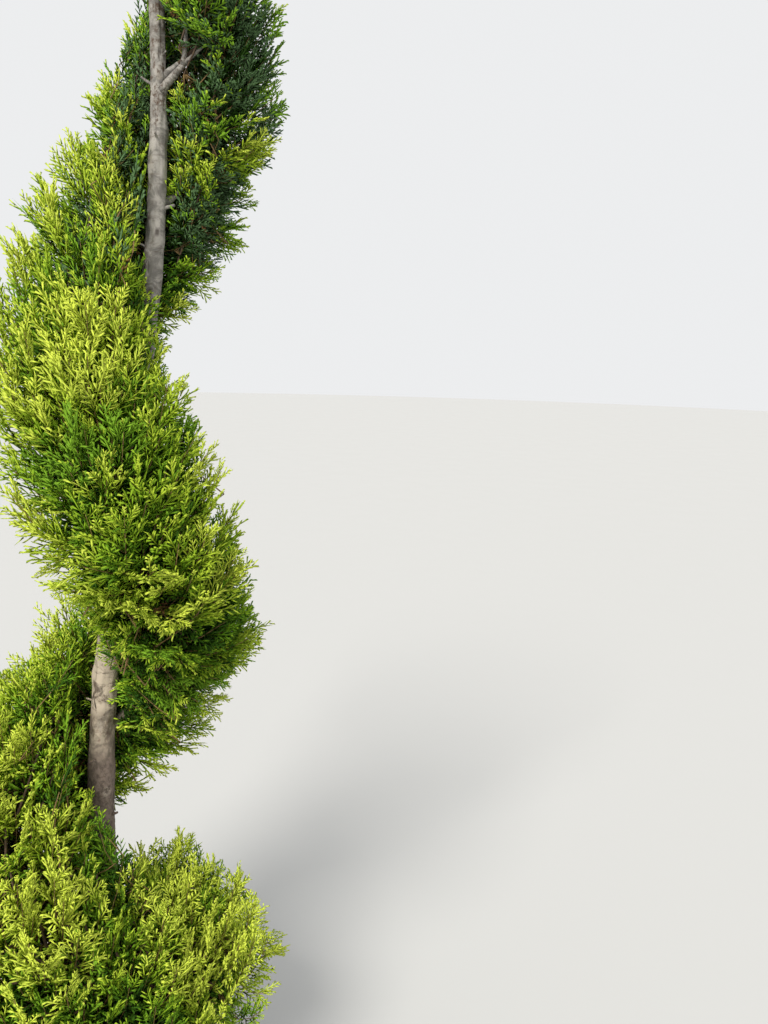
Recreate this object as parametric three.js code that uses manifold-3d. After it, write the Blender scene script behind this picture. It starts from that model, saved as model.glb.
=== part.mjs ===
// A spiral-clipped golden cypress in its nursery pot, in millimetres, Z up.
// The origin is the middle of the pot's flat underside. A ribbon of clipped foliage climbs the
// bare trunk, turning anticlockwise seen from above on its way down. Places along it are counted
// in quarter turns: 0 is at the back, 1 on the right, 2 at the front, 3 on the left, and so on up.
import * as THREE from "three";
import { mergeVertices } from "three/addons/utils/BufferGeometryUtils.js";
import Module from "manifold-3d";

const wasm = await Module();
wasm.setup();

// Gaps between neighbouring solids
const SEAT_GAP = 0.3;
const CUT_GAP = 0.4;

// Pot and potting mix
const POT = {
  height: 340,
  footRadius: 160,
  wallFootRadius: 168,
  wallTopRadius: 206,
  rimRadius: 222,
  rimHeight: 34,
  wall: 5,
  floor: 6,
  sides: 36,
};
const SLOT = { count: 8, width: 46, depth: 40, height: 12 };
const SOIL = { level: 310, edgeDrop: 8, gap: 0.6 };

// Trunk: its height, radii, root flare and lean to the right
const TRUNK = { top: 2965, tipRadius: 3, footRadius: 27.5, taper: 0.85, sides: 12, rings: 24 };
const FLARE = { radius: 13, height: 50, reach: 80, lobes: 3, lobeDepth: 0.12, rings: 5 };
const LEAN = { offset: 2, slope: 0.015, shift: 125, from: 720, to: 2000 };

// The ribbon's middle height at each quarter turn
const QUARTER_HEIGHTS = [
  450, 425, 525, 740, 920, 1070, 1360, 1630, 1860, 2030, 2340, 2500, 2630, 2750, 2870, 2960,
];
// Heights with the crown's radius there, and with the ribbon's half height beside the trunk
const CROWN_RADIUS = [
  [300, 350], [460, 358], [600, 370], [950, 320], [1100, 265], [1400, 295], [1750, 225],
  [1900, 230], [2100, 195], [2500, 145], [2800, 85], [3000, 30],
];
const HALF_HEIGHT = [
  [400, 205], [530, 255], [730, 340], [1000, 270], [1400, 330], [1630, 340],
  [1800, 380], [2050, 310], [2300, 215], [2500, 180], [2900, 100], [3000, 50],
];
const RIBBON = {
  start: 0.25,
  startFade: 0.45,
  end: 13.6,
  endFade: 1.2,
  blunt: 0.22,
  lowest: 296,
  highest: 2884,
  radialPower: 2.4,
  heightPower: 1.5,
  trunkSpace: 0.14,
};

// Foliage masses: a core in each, and the sprays that stand out of it
const MASSES = 13;
const CORE = { inset: 54, least: 0.4, steps: 5, sideAngles: [90, 62, 34], endGap: 0.005 };
const SPRAY = {
  length: 225,
  width: 0.64,
  thickness: 0.04,
  fullCrown: 300,
  smallest: 0.35,
  perSquareMetre: 50,
  crowding: 1.6,
};
const SPRAY_FIT = { tries: 24, shrink: 0.5, tipDepth: 14, turn: 0.9, spotTries: 14 };
// A spray points out of the skin and upwards, and hangs outwards where the skin faces down
const SPRAY_AIM = {
  skin: 0.6,
  lift: 0.85,
  liftFrom: -0.75,
  hangBelow: -0.3,
  hang: 0.55,
  spread: 0.1,
  jitter: 0.22,
};
// Foliage keeps out of this space over the pot, and hangs down outside it
const POT_SPACE = { radius: 236, height: 368 };
const SPACE_MARGIN = 8;
const LIMB_MARGIN = 5;
// A spray's half outline: how far along it, and how wide there
const SPRAY_OUTLINE = [[0, 0.09], [0.57, 0.5], [0.65, 0.22], [0.83, 0.32]];
const SPRAY_RIDGE = 0.6;
const TIP_MASS = { from: 2890, to: 3000, radius: 30, sides: 7, rings: 4, profile: [0.55, 1.3, -1.7] };
const TIP_SPRAYS = { count: 6, length: 110, lean: 0.55, rootRadius: 11, lowest: 8, spread: 0.52 };

// Boughs, and the stems and twigs that carry on from them inside each mass
const BOUGH = { rise: 0.75, taper: 0.62, sides: 7, stemShows: 8, wideCrown: 170, longest: 300 };
const BOUGH_RADIUS = [[400, 10.5], [1200, 9], [2000, 7], [2800, 3.6]];
const TWIG = { radius: 3, taper: 0.6, sides: 3 };
const SIDES = ["back_right", "front_right", "front_left", "back_left"];

const COLOURS = {
  pot: 0x3b3c40,
  soil: 0x4a3426,
  bark: 0x8d7c6b,
  foliage: [0x8fb32a, 0x7ea62b, 0x9dbd33],
};

const UP = new THREE.Vector3(0, 0, 1);
const SQUARE_METRE = 1e6;
const GOLDEN_ANGLE = Math.PI * (3 - Math.sqrt(5));

// Small rules

function seeded(seed) {
  let state = seed >>> 0;
  return () => {
    state = (state + 0x6d2b79f5) >>> 0;
    let t = state;
    t = Math.imul(t ^ (t >>> 15), t | 1);
    t ^= t + Math.imul(t ^ (t >>> 7), t | 61);
    return ((t ^ (t >>> 14)) >>> 0) / 4294967296;
  };
}

function along(table, x) {
  let i = 0;
  while (i < table.length - 2 && x > table[i + 1][0]) i += 1;
  const [x0, y0] = table[i];
  const [x1, y1] = table[i + 1];
  return y0 + (y1 - y0) * THREE.MathUtils.clamp((x - x0) / (x1 - x0), 0, 1);
}

function between(random, low, high) {
  return low + (high - low) * random();
}

// The trunk's middle line and radius at a height

function trunkX(z) {
  const bend = LEAN.shift * THREE.MathUtils.smoothstep(z, LEAN.from, LEAN.to);
  return LEAN.offset + LEAN.slope * (z - SOIL.level) + bend;
}

function flare(z) {
  return Math.exp(-(z - SOIL.level) / FLARE.height);
}

function trunkRadius(z) {
  const t = THREE.MathUtils.clamp((z - SOIL.level) / (TRUNK.top - SOIL.level), 0, 1);
  const shaft = TRUNK.tipRadius + (TRUNK.footRadius - TRUNK.tipRadius) * (1 - t) ** TRUNK.taper;
  return shaft + FLARE.radius * flare(z);
}

// The ribbon's middle line, by a smooth curve through the quarter heights

function middleHeight(quarter) {
  const i = Math.min(Math.floor(quarter), QUARTER_HEIGHTS.length - 2);
  const t = quarter - i;
  const b = QUARTER_HEIGHTS[i];
  const c = QUARTER_HEIGHTS[i + 1];
  const a = i > 0 ? QUARTER_HEIGHTS[i - 1] : 2 * b - c;
  const d = i + 2 < QUARTER_HEIGHTS.length ? QUARTER_HEIGHTS[i + 2] : 2 * c - b;
  const square = 2 * a - 5 * b + 4 * c - d;
  const cube = 3 * b - a - 3 * c + d;
  return 0.5 * (2 * b + t * (c - a + t * (square + t * cube)));
}

function azimuth(quarter) {
  return ((1 - quarter) * Math.PI) / 2;
}

function outwards(quarter) {
  return new THREE.Vector3(Math.cos(azimuth(quarter)), Math.sin(azimuth(quarter)), 0);
}

// Quarter turns from one place of the ribbon to a point, round the leaning trunk
function turnsFrom(quarter, point) {
  const angle = Math.atan2(point.y, point.x - trunkX(point.z));
  const turns = (azimuth(quarter) - angle) / (Math.PI / 2);
  return turns - 4 * Math.round(turns / 4);
}

// The ribbon's two ends are blunt: the fade starts at this share of its full size
function fadeIn(t) {
  return THREE.MathUtils.clamp(t + RIBBON.blunt, 0, 1);
}

function section(quarter) {
  const z = middleHeight(quarter);
  const startFade = fadeIn((quarter - RIBBON.start) / RIBBON.startFade);
  const endFade = fadeIn((RIBBON.end - quarter) / RIBBON.endFade);
  const fade = Math.sqrt(startFade * endFade);
  const half = along(HALF_HEIGHT, z) * fade;
  const radius = along(CROWN_RADIUS, z) * (0.6 + 0.4 * fade);
  const above = Math.min(half, RIBBON.highest - z);
  const below = Math.min(half, z - RIBBON.lowest);
  return { z, radius, above, below };
}

// A point on the ribbon's skin. The angle runs from -90 degrees, below and beside the trunk, past
// 0 at the outer edge to +90 on top. An inset draws the skin in, for the core.
function skin(quarter, angle, inset = 0) {
  const { z, radius, above, below } = section(quarter);
  const side = angle > 0 ? above : below;
  const reach = Math.max(radius - inset, radius * CORE.least);
  const lift = Math.max(side - inset, side * CORE.least);
  const rise = Math.abs(Math.sin(angle)) ** (2 / RIBBON.heightPower);
  const h = lift * Math.sign(angle) * rise;
  const r = reach * Math.max(Math.cos(angle), 0) ** (2 / RIBBON.radialPower);
  const inner = trunkRadius(z + h) + radius * RIBBON.trunkSpace;
  const point = outwards(quarter).multiplyScalar(Math.max(r, inner));
  return point.add(new THREE.Vector3(trunkX(z + h), 0, z + h));
}

// Sprays get smaller where the crown is slim: 1 is full size
function sprayScale(quarter) {
  return THREE.MathUtils.clamp(section(quarter).radius / SPRAY.fullCrown, SPRAY.smallest, 1);
}

function coreInset(quarter) {
  return CORE.inset * sprayScale(quarter);
}

function skinNormal(quarter, angle) {
  const step = 0.02;
  const top = Math.PI / 2 - step;
  const a = THREE.MathUtils.clamp(angle, -top, top);
  const alongRibbon = skin(quarter + step, a).sub(skin(quarter - step, a));
  const overRibbon = skin(quarter, a + step).sub(skin(quarter, a - step));
  return overRibbon.cross(alongRibbon).normalize();
}

// Closed bodies

function signedVolume(position, index) {
  let sum = 0;
  const [a, b, c] = [new THREE.Vector3(), new THREE.Vector3(), new THREE.Vector3()];
  for (let i = 0; i < index.count; i += 3) {
    a.fromBufferAttribute(position, index.getX(i));
    b.fromBufferAttribute(position, index.getX(i + 1));
    c.fromBufferAttribute(position, index.getX(i + 2));
    sum += a.dot(b.cross(c)) / 6;
  }
  return sum;
}

function toSolid(geometry) {
  const bare = geometry.clone();
  bare.deleteAttribute("normal");
  bare.deleteAttribute("uv");
  const merged = mergeVertices(bare, 1e-3);
  const triVerts = [];
  for (let i = 0; i < merged.index.count; i += 3) {
    const [a, b, c] = [0, 1, 2].map((k) => merged.index.getX(i + k));
    if (a !== b && b !== c && c !== a) triVerts.push(a, b, c);
  }
  if (signedVolume(merged.attributes.position, merged.index) < 0) triVerts.reverse();
  return new wasm.Manifold(
    new wasm.Mesh({
      numProp: 3,
      vertProperties: new Float32Array(merged.attributes.position.array),
      triVerts: new Uint32Array(triVerts),
    }),
  );
}

function toGeometry(solid) {
  const { vertProperties, triVerts } = solid.getMesh();
  const geometry = new THREE.BufferGeometry();
  geometry.setAttribute("position", new THREE.BufferAttribute(new Float32Array(vertProperties), 3));
  geometry.setIndex(new THREE.BufferAttribute(new Uint32Array(triVerts), 1));
  geometry.computeVertexNormals();
  return geometry;
}

function polyhedron(points, faces) {
  const geometry = new THREE.BufferGeometry();
  const places = points.flatMap((p) => [p.x, p.y, p.z]);
  geometry.setAttribute("position", new THREE.Float32BufferAttribute(places, 3));
  geometry.setIndex(faces.flat());
  return geometry;
}

// Rings of points joined in order, with a fan over each end
function loft(rings) {
  const count = rings[0].length;
  const points = rings.flat();
  const faces = [];
  for (let i = 0; i + 1 < rings.length; i += 1) {
    for (let j = 0; j < count; j += 1) {
      const a = i * count + j;
      const b = i * count + ((j + 1) % count);
      faces.push([a, b, b + count], [a, b + count, a + count]);
    }
  }
  for (const [ring, first] of [[0, true], [rings.length - 1, false]]) {
    const centre = new THREE.Vector3();
    for (const p of rings[ring]) centre.addScaledVector(p, 1 / count);
    points.push(centre);
    for (let j = 0; j < count; j += 1) {
      const a = ring * count + j;
      const b = ring * count + ((j + 1) % count);
      faces.push(first ? [points.length - 1, b, a] : [points.length - 1, a, b]);
    }
  }
  return polyhedron(points, faces);
}

// A round limb that narrows from one place to another
function limb(from, to, startRadius, endRadius, sides) {
  const length = from.distanceTo(to);
  const geometry = new THREE.CylinderGeometry(endRadius, startRadius, length, sides, 1);
  geometry.translate(0, length / 2, 0);
  const turn = new THREE.Quaternion();
  turn.setFromUnitVectors(new THREE.Vector3(0, 1, 0), to.clone().sub(from).normalize());
  geometry.applyQuaternion(turn);
  geometry.translate(from.x, from.y, from.z);
  return geometry;
}

// A profile of radius and height pairs turned round the Z axis
function turned(profile, sides) {
  const points = profile.map(([r, z]) => new THREE.Vector2(r, z));
  return new THREE.LatheGeometry(points, sides).rotateX(Math.PI / 2);
}

// Pot and potting mix

function potInnerRadius(z) {
  const top = POT.height - POT.rimHeight;
  const t = z / top;
  return POT.wallFootRadius + (POT.wallTopRadius - POT.wallFootRadius) * t - POT.wall;
}

function makePot() {
  const lip = POT.height - POT.rimHeight;
  const roll = (POT.rimRadius - POT.wallTopRadius) / 2;
  const profile = [
    [0, 0],
    [POT.footRadius, 0],
    [POT.wallFootRadius, 9],
    [POT.wallTopRadius, lip],
    [POT.wallTopRadius + roll, lip + 3],
    [POT.rimRadius - 3, lip + 8],
    [POT.rimRadius, POT.height - 12],
    [POT.rimRadius - 4, POT.height - 2],
    [POT.rimRadius - 10, POT.height],
    [POT.wallTopRadius, POT.height - 5],
    [potInnerRadius(lip), lip - 2],
    [potInnerRadius(POT.floor), POT.floor],
    [0, POT.floor],
  ];
  let pot = toSolid(turned(profile, POT.sides));
  for (let i = 0; i < SLOT.count; i += 1) {
    const slot = new THREE.BoxGeometry(SLOT.depth, SLOT.width, 2 * SLOT.height);
    slot.translate(POT.footRadius + 6, 0, 0);
    slot.rotateZ((i * 2 * Math.PI) / SLOT.count);
    pot = pot.subtract(toSolid(slot));
  }
  return toGeometry(pot);
}

function makeSoil() {
  const bottom = POT.floor + SEAT_GAP;
  const top = SOIL.level - SOIL.edgeDrop;
  const profile = [
    [0, bottom],
    [potInnerRadius(bottom) - SOIL.gap, bottom],
    [potInnerRadius(top) - SOIL.gap, top],
    [potInnerRadius(top) * 0.6, SOIL.level - 2],
    [TRUNK.footRadius + 2 * FLARE.radius, SOIL.level],
    [0, SOIL.level],
  ];
  return toGeometry(toSolid(turned(profile, POT.sides)));
}

// Trunk

function makeTrunk(grow = 0) {
  const foot = SOIL.level + SEAT_GAP - grow;
  const heights = [];
  const shaftFoot = foot + FLARE.reach;
  for (let i = 0; i < FLARE.rings; i += 1) heights.push(foot + (i * FLARE.reach) / FLARE.rings);
  for (let i = 0; i <= TRUNK.rings; i += 1) {
    heights.push(shaftFoot + ((TRUNK.top - shaftFoot) * i) / TRUNK.rings);
  }
  const profile = heights.map((z) => [trunkRadius(z) + grow, z]);
  const geometry = turned([[0, foot], ...profile, [0, TRUNK.top + grow]], TRUNK.sides);
  const places = geometry.attributes.position;
  for (let i = 0; i < places.count; i += 1) {
    const [x, y, z] = [places.getX(i), places.getY(i), places.getZ(i)];
    const lobe = 1 + FLARE.lobeDepth * flare(z) * Math.cos(FLARE.lobes * Math.atan2(y, x));
    places.setXYZ(i, trunkX(z) + x * lobe, y * lobe, z);
  }
  return toSolid(geometry);
}

// Boughs: each leaves the trunk in its own direction and ends where it enters its mass

function insideCore(quarter, point) {
  const { z, radius, above, below } = section(quarter);
  const r = Math.hypot(point.x - trunkX(point.z), point.y);
  const inner = trunkRadius(point.z) + radius * RIBBON.trunkSpace;
  const side = point.z > z ? above : below;
  const inset = coreInset(quarter);
  const reach = Math.max(radius - inset, radius * CORE.least);
  const lift = Math.max(side - inset, side * CORE.least);
  const across = (r / reach) ** RIBBON.radialPower;
  const upDown = (Math.abs(point.z - z) / lift) ** RIBBON.heightPower;
  return r >= inner && across + upDown < 1;
}

function planBough(quarter, startHeight) {
  const direction = outwards(quarter).addScaledVector(UP, BOUGH.rise).normalize();
  const foot = new THREE.Vector3(trunkX(startHeight), 0, startHeight);
  const at = (reach) => foot.clone().addScaledVector(direction, reach);
  let reach = 0;
  while (reach < BOUGH.longest && !insideCore(quarter, at(reach))) reach += 1;
  const footRadius = along(BOUGH_RADIUS, startHeight);
  const tipRadius = footRadius * BOUGH.taper;
  return { quarter, direction, foot, tip: at(reach - BOUGH.stemShows), footRadius, tipRadius };
}

function makeBough(bough, trunkSpace) {
  const body = toSolid(limb(bough.foot, bough.tip, bough.footRadius, bough.tipRadius, BOUGH.sides));
  return toGeometry(largestPart(body.subtract(trunkSpace)));
}

// Sprays: flat toothed blades, thickest along a ridge near the root

function sprayPoints(root, direction, side, length) {
  const face = direction.clone().cross(side).normalize();
  const place = (u, w, t) =>
    root.clone()
      .addScaledVector(direction, u * length)
      .addScaledVector(side, w * length * SPRAY.width)
      .addScaledVector(face, t * length);
  const left = SPRAY_OUTLINE.map(([u, w]) => place(u, w, 0));
  const right = SPRAY_OUTLINE.map(([u, w]) => place(u, -w, 0)).reverse();
  const outline = [...left, place(1, 0, 0), ...right];
  const half = SPRAY.thickness / 2;
  return [...outline, place(SPRAY_RIDGE, 0, half), place(SPRAY_RIDGE, 0, -half)];
}

function sprayBody(points) {
  const count = points.length - 2;
  const faces = [];
  for (let i = 0; i < count; i += 1) {
    const next = (i + 1) % count;
    faces.push([i, next, count], [next, i, count + 1]);
  }
  return toSolid(polyhedron(points, faces));
}

function sprayDirection(normal, out, random) {
  const lift = SPRAY_AIM.lift * THREE.MathUtils.clamp(normal.z - SPRAY_AIM.liftFrom, 0, 1);
  const spread = normal.z < SPRAY_AIM.hangBelow ? SPRAY_AIM.hang : SPRAY_AIM.spread;
  const jitter = () => between(random, -SPRAY_AIM.jitter, SPRAY_AIM.jitter);
  return normal.clone().multiplyScalar(SPRAY_AIM.skin)
    .addScaledVector(UP, lift)
    .addScaledVector(out, spread)
    .add(new THREE.Vector3(jitter(), jitter(), jitter()))
    .normalize();
}

function clearOfLimbs(point, boughs) {
  const fromTrunk = Math.hypot(point.x - trunkX(point.z), point.y) - trunkRadius(point.z);
  if (fromTrunk < LIMB_MARGIN) return false;
  return boughs.every((bough) => {
    const line = new THREE.Line3(bough.foot, bough.tip);
    const nearest = line.closestPointToPoint(point, true, new THREE.Vector3());
    return nearest.distanceTo(point) > bough.footRadius + LIMB_MARGIN;
  });
}

function clearOfPotAndTip(point) {
  const overPot = Math.hypot(point.x, point.y) < POT_SPACE.radius + LIMB_MARGIN;
  const lowest = overPot ? POT_SPACE.height + LIMB_MARGIN : RIBBON.lowest - SEAT_GAP;
  return point.z > lowest && point.z < RIBBON.highest + SEAT_GAP;
}

function inSpace(point, from, to) {
  const middle = (from + to) / 2;
  const r = Math.hypot(point.x - trunkX(point.z), point.y);
  const margin = SPACE_MARGIN / r / (Math.PI / 2);
  return Math.abs(turnsFrom(middle, point)) < (to - from) / 2 - margin;
}

// One mass of the ribbon between two places: core, stems, twigs and sprays fused together

function coreRings(from, to) {
  const angles = CORE.sideAngles.map((d) => THREE.MathUtils.degToRad(d));
  const all = [...angles.map((a) => -a), 0, ...angles.reverse()];
  const rings = [];
  for (let i = 0; i <= CORE.steps; i += 1) {
    const quarter = from + ((to - from) * i) / CORE.steps;
    rings.push(all.map((angle) => skin(quarter, angle, coreInset(quarter))));
  }
  return rings;
}

function skinArea(from, to) {
  let area = 0;
  const steps = 8;
  for (let i = 0; i < steps; i += 1) {
    for (let j = 0; j < steps; j += 1) {
      const quarter = from + ((to - from) * (i + 0.5)) / steps;
      const angle = Math.PI * ((j + 0.5) / steps - 0.5);
      area += skinPatch(quarter, angle) * ((to - from) / steps) * (Math.PI / steps);
    }
  }
  return area;
}

function skinPatch(quarter, angle) {
  const step = 0.01;
  const alongRibbon = skin(quarter + step, angle).sub(skin(quarter - step, angle));
  const overRibbon = skin(quarter, angle + step).sub(skin(quarter, angle - step));
  return alongRibbon.cross(overRibbon).length() / (4 * step * step);
}

function nextPlace(from, to, taken, random) {
  let best = null;
  let bestSpace = -1;
  for (let tries = 0; tries < SPRAY_FIT.spotTries; tries += 1) {
    const quarter = between(random, from, to);
    const angle = Math.asin(between(random, -1, 1)) * 0.98;
    const point = skin(quarter, angle);
    const space = Math.min(1e6, ...taken.map((other) => other.distanceTo(point)));
    if (space > bestSpace) [best, bestSpace] = [{ quarter, angle, point }, space];
  }
  return best;
}

// A spray whose tip is on the skin and whose root is in the core, or null where none fits
function growSpray(place, from, to, boughs, random) {
  const { quarter, angle } = place;
  const scale = sprayScale(quarter);
  const normal = skinNormal(quarter, angle);
  for (let tries = 0; tries < SPRAY_FIT.tries; tries += 1) {
    const length = SPRAY.length * scale * (1 - (SPRAY_FIT.shrink * tries) / SPRAY_FIT.tries);
    const direction = sprayDirection(normal, outwards(quarter), random);
    const tip = skin(quarter, angle, between(random, 0, SPRAY_FIT.tipDepth) * scale);
    const root = tip.clone().addScaledVector(direction, -length);
    const flat = new THREE.Vector3().crossVectors(direction, normal);
    if (flat.length() < 0.1) flat.copy(outwards(quarter + 1));
    const turn = between(random, -SPRAY_FIT.turn, SPRAY_FIT.turn);
    const side = flat.normalize().applyAxisAngle(direction, turn);
    const points = sprayPoints(root, direction, side, length);
    const fits = points.every(
      (p) => inSpace(p, from, to) && clearOfLimbs(p, boughs) && clearOfPotAndTip(p),
    );
    if (fits && insideCore(quarter + turnsFrom(quarter, root), root)) return { root, points };
  }
  return null;
}

// The middle of the ribbon's section, well inside the core
function heart(quarter) {
  const { z, radius } = section(quarter);
  const inner = trunkRadius(z) + radius * RIBBON.trunkSpace;
  const point = outwards(quarter).multiplyScalar((inner + radius - coreInset(quarter)) / 2);
  return point.add(new THREE.Vector3(trunkX(z), 0, z));
}

function twig(from, to, radius) {
  return toSolid(limb(from, to, radius, radius * TWIG.taper, TWIG.sides));
}

// A bough's stem goes on from its tip to the middle of the mass
function makeStem(bough) {
  const start = bough.tip.clone().addScaledVector(bough.direction, SEAT_GAP);
  const end = start.clone().addScaledVector(bough.direction, bough.footRadius * 5);
  const stem = toSolid(limb(start, end, bough.tipRadius, bough.tipRadius * BOUGH.taper, BOUGH.sides));
  return stem.add(twig(end, heart(bough.quarter), bough.tipRadius * BOUGH.taper));
}

function makeLeaders(from, to) {
  const leaders = [];
  const step = (to - from) / (CORE.steps + 1);
  for (let i = 1; i < CORE.steps; i += 1) {
    const quarter = from + step * i;
    leaders.push(twig(heart(quarter), heart(quarter + step), TWIG.radius * 1.5));
  }
  return leaders;
}

function boughSpace(bough) {
  const end = bough.tip.clone().addScaledVector(bough.direction, SEAT_GAP);
  const radii = [bough.footRadius + CUT_GAP, bough.tipRadius + CUT_GAP];
  return toSolid(limb(bough.foot, end, ...radii, BOUGH.sides));
}

function largestPart(solid) {
  const parts = solid.decompose();
  return parts.sort((a, b) => b.volume() - a.volume())[0];
}

function makePotSpace() {
  const { radius, height } = POT_SPACE;
  return toSolid(turned([[0, 0], [radius, 0], [radius, height], [0, height]], POT.sides));
}

function makeMass(from, to, boughs, seed) {
  const random = seeded(seed);
  const parts = [toSolid(loft(coreRings(from + CORE.endGap, to - CORE.endGap)))];
  parts.push(...makeLeaders(from, to));
  const density = SPRAY.perSquareMetre / sprayScale((from + to) / 2) ** SPRAY.crowding;
  const wanted = Math.round((skinArea(from, to) / SQUARE_METRE) * density);
  const tried = [];
  let grown = 0;
  while (grown < wanted && tried.length < 6 * wanted) {
    const place = nextPlace(from, to, tried, random);
    tried.push(place.point);
    const spray = growSpray(place, from, to, boughs, random);
    if (spray) {
      grown += 1;
      const fork = place.quarter + turnsFrom(place.quarter, spray.root);
      parts.push(twig(heart(fork), spray.root, TWIG.radius), sprayBody(spray.points));
    }
  }
  let body = wasm.Manifold.union(parts).subtract(makePotSpace());
  for (const bough of boughs) body = body.subtract(boughSpace(bough));
  const whole = wasm.Manifold.union([body, ...boughs.map(makeStem)]);
  return toGeometry(largestPart(whole));
}

// The mass round the leading shoot: a slim spindle with upright sprays, cut clear of the trunk
function tipRing(t) {
  const z = THREE.MathUtils.lerp(TIP_MASS.from, TIP_MASS.to, t);
  const [foot, swell, close] = TIP_MASS.profile;
  const radius = TIP_MASS.radius * (foot + swell * t + close * t * t);
  const ring = [];
  for (let j = 0; j < TIP_MASS.sides; j += 1) {
    const angle = (j * 2 * Math.PI) / TIP_MASS.sides;
    ring.push(new THREE.Vector3(trunkX(z) + radius * Math.cos(angle), radius * Math.sin(angle), z));
  }
  return ring;
}

function tipSpray(i, random) {
  const t = i / (TIP_SPRAYS.count - 1);
  const out = new THREE.Vector3(Math.cos(i * GOLDEN_ANGLE), Math.sin(i * GOLDEN_ANGLE), 0);
  const direction = UP.clone().addScaledVector(out, TIP_SPRAYS.lean * (1 - t)).normalize();
  const climb = TIP_SPRAYS.lowest + t * (TIP_MASS.to - TIP_MASS.from) * TIP_SPRAYS.spread;
  const root = new THREE.Vector3(trunkX(TIP_MASS.from), 0, TIP_MASS.from + climb);
  root.addScaledVector(out, TIP_SPRAYS.rootRadius * (1 - t));
  const across = new THREE.Vector3(-out.y, out.x, 0);
  const side = across.applyAxisAngle(direction, between(random, -0.5, 0.5));
  return sprayBody(sprayPoints(root, direction, side, TIP_SPRAYS.length * (0.8 + 0.2 * t)));
}

function makeTipMass(trunkSpace, seed) {
  const random = seeded(seed);
  const rings = [];
  for (let i = 0; i < TIP_MASS.rings; i += 1) rings.push(tipRing(i / (TIP_MASS.rings - 1)));
  const parts = [toSolid(loft(rings))];
  for (let i = 0; i < TIP_SPRAYS.count; i += 1) parts.push(tipSpray(i, random));
  return toGeometry(largestPart(wasm.Manifold.union(parts).subtract(trunkSpace)));
}

// The whole plant

const plant = new THREE.Group();
plant.name = "spiral_topiary";

function addPiece(name, geometry, color, roughness) {
  const material = new THREE.MeshStandardMaterial({ color, roughness, metalness: 0 });
  const mesh = new THREE.Mesh(geometry, material);
  mesh.name = name;
  plant.add(mesh);
}

function planBoughs(from, to) {
  const { radius } = section((from + to) / 2);
  const places = radius > BOUGH.wideCrown ? [[0.28, 0.3], [0.74, 0.45]] : [[0.5, 0.3]];
  return places.map(([share, drop]) => {
    const quarter = from + (to - from) * share;
    const { z, below } = section(quarter);
    return planBough(quarter, z - below * drop);
  });
}

addPiece("pot", makePot(), COLOURS.pot, 0.7);
addPiece("potting_mix", makeSoil(), COLOURS.soil, 0.95);
addPiece("trunk", toGeometry(makeTrunk()), COLOURS.bark, 0.85);

const trunkSpace = makeTrunk(CUT_GAP);
let boughCount = 0;
for (let i = 0; i < MASSES; i += 1) {
  const from = i === 0 ? RIBBON.start : i;
  const to = i === MASSES - 1 ? RIBBON.end : i + 1;
  const boughs = planBoughs(from, to);
  for (const bough of boughs) {
    boughCount += 1;
    const name = `bough_${String(boughCount).padStart(2, "0")}`;
    addPiece(name, makeBough(bough, trunkSpace), COLOURS.bark, 0.85);
  }
  const name = `foliage_turn${Math.floor(i / 4) + 1}_${SIDES[i % 4]}`;
  addPiece(name, makeMass(from, to, boughs, i + 1), COLOURS.foliage[i % 3], 0.8);
}
addPiece("foliage_tip", makeTipMass(trunkSpace, MASSES + 1), COLOURS.foliage[2], 0.8);

export default plant;
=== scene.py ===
# The looks of a spiral-clipped golden cypress in its nursery pot, in metres, Z up.
# The ribbon of foliage is counted in quarter turns: 0 at the back, 1 on the right, 2 at the front,
# 3 on the left, and so on up. Every spray of it grows on from the boughs by the part's own rule.
import math

import bpy
import numpy as np
from mathutils import Matrix, Vector


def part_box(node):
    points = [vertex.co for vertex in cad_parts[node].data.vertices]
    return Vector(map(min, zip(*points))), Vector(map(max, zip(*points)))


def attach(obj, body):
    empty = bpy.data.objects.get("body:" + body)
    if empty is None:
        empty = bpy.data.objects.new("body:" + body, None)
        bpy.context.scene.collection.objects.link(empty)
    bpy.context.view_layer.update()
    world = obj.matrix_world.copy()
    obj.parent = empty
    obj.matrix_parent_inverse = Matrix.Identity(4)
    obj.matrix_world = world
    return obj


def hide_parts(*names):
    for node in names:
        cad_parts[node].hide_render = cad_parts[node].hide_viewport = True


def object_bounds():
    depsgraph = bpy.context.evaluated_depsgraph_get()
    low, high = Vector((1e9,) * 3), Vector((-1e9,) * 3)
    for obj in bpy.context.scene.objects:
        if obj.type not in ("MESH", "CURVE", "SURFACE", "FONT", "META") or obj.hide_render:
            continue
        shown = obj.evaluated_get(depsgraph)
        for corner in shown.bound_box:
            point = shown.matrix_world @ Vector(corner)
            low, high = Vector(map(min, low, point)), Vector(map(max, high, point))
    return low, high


bl_info = {
    "name": "Spiral Topiary",
    "version": (1, 0, 0),
    "blender": (4, 5, 0),
    "location": "View3D > Sidebar > Topiary",
    "description": "Dresses a spiral-clipped golden cypress in its nursery pot",
    "category": "Object",
}

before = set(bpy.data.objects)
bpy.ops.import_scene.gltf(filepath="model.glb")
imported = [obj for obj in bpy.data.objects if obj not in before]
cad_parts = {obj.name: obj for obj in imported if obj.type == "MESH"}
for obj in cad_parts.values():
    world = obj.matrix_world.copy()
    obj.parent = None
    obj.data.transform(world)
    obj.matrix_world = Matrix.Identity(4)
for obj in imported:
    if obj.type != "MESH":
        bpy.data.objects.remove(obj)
CAD_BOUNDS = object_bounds()
NODES = sorted(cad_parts)
BOUGH_NODES = [name for name in NODES if name.startswith("bough_")]
FOLIAGE_NODES = [name for name in NODES if name.startswith("foliage_")]
POT_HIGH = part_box("pot")[1]
SOIL_LOW, SOIL_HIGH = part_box("potting_mix")
TRUNK_LOW, TRUNK_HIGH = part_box("trunk")

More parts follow.
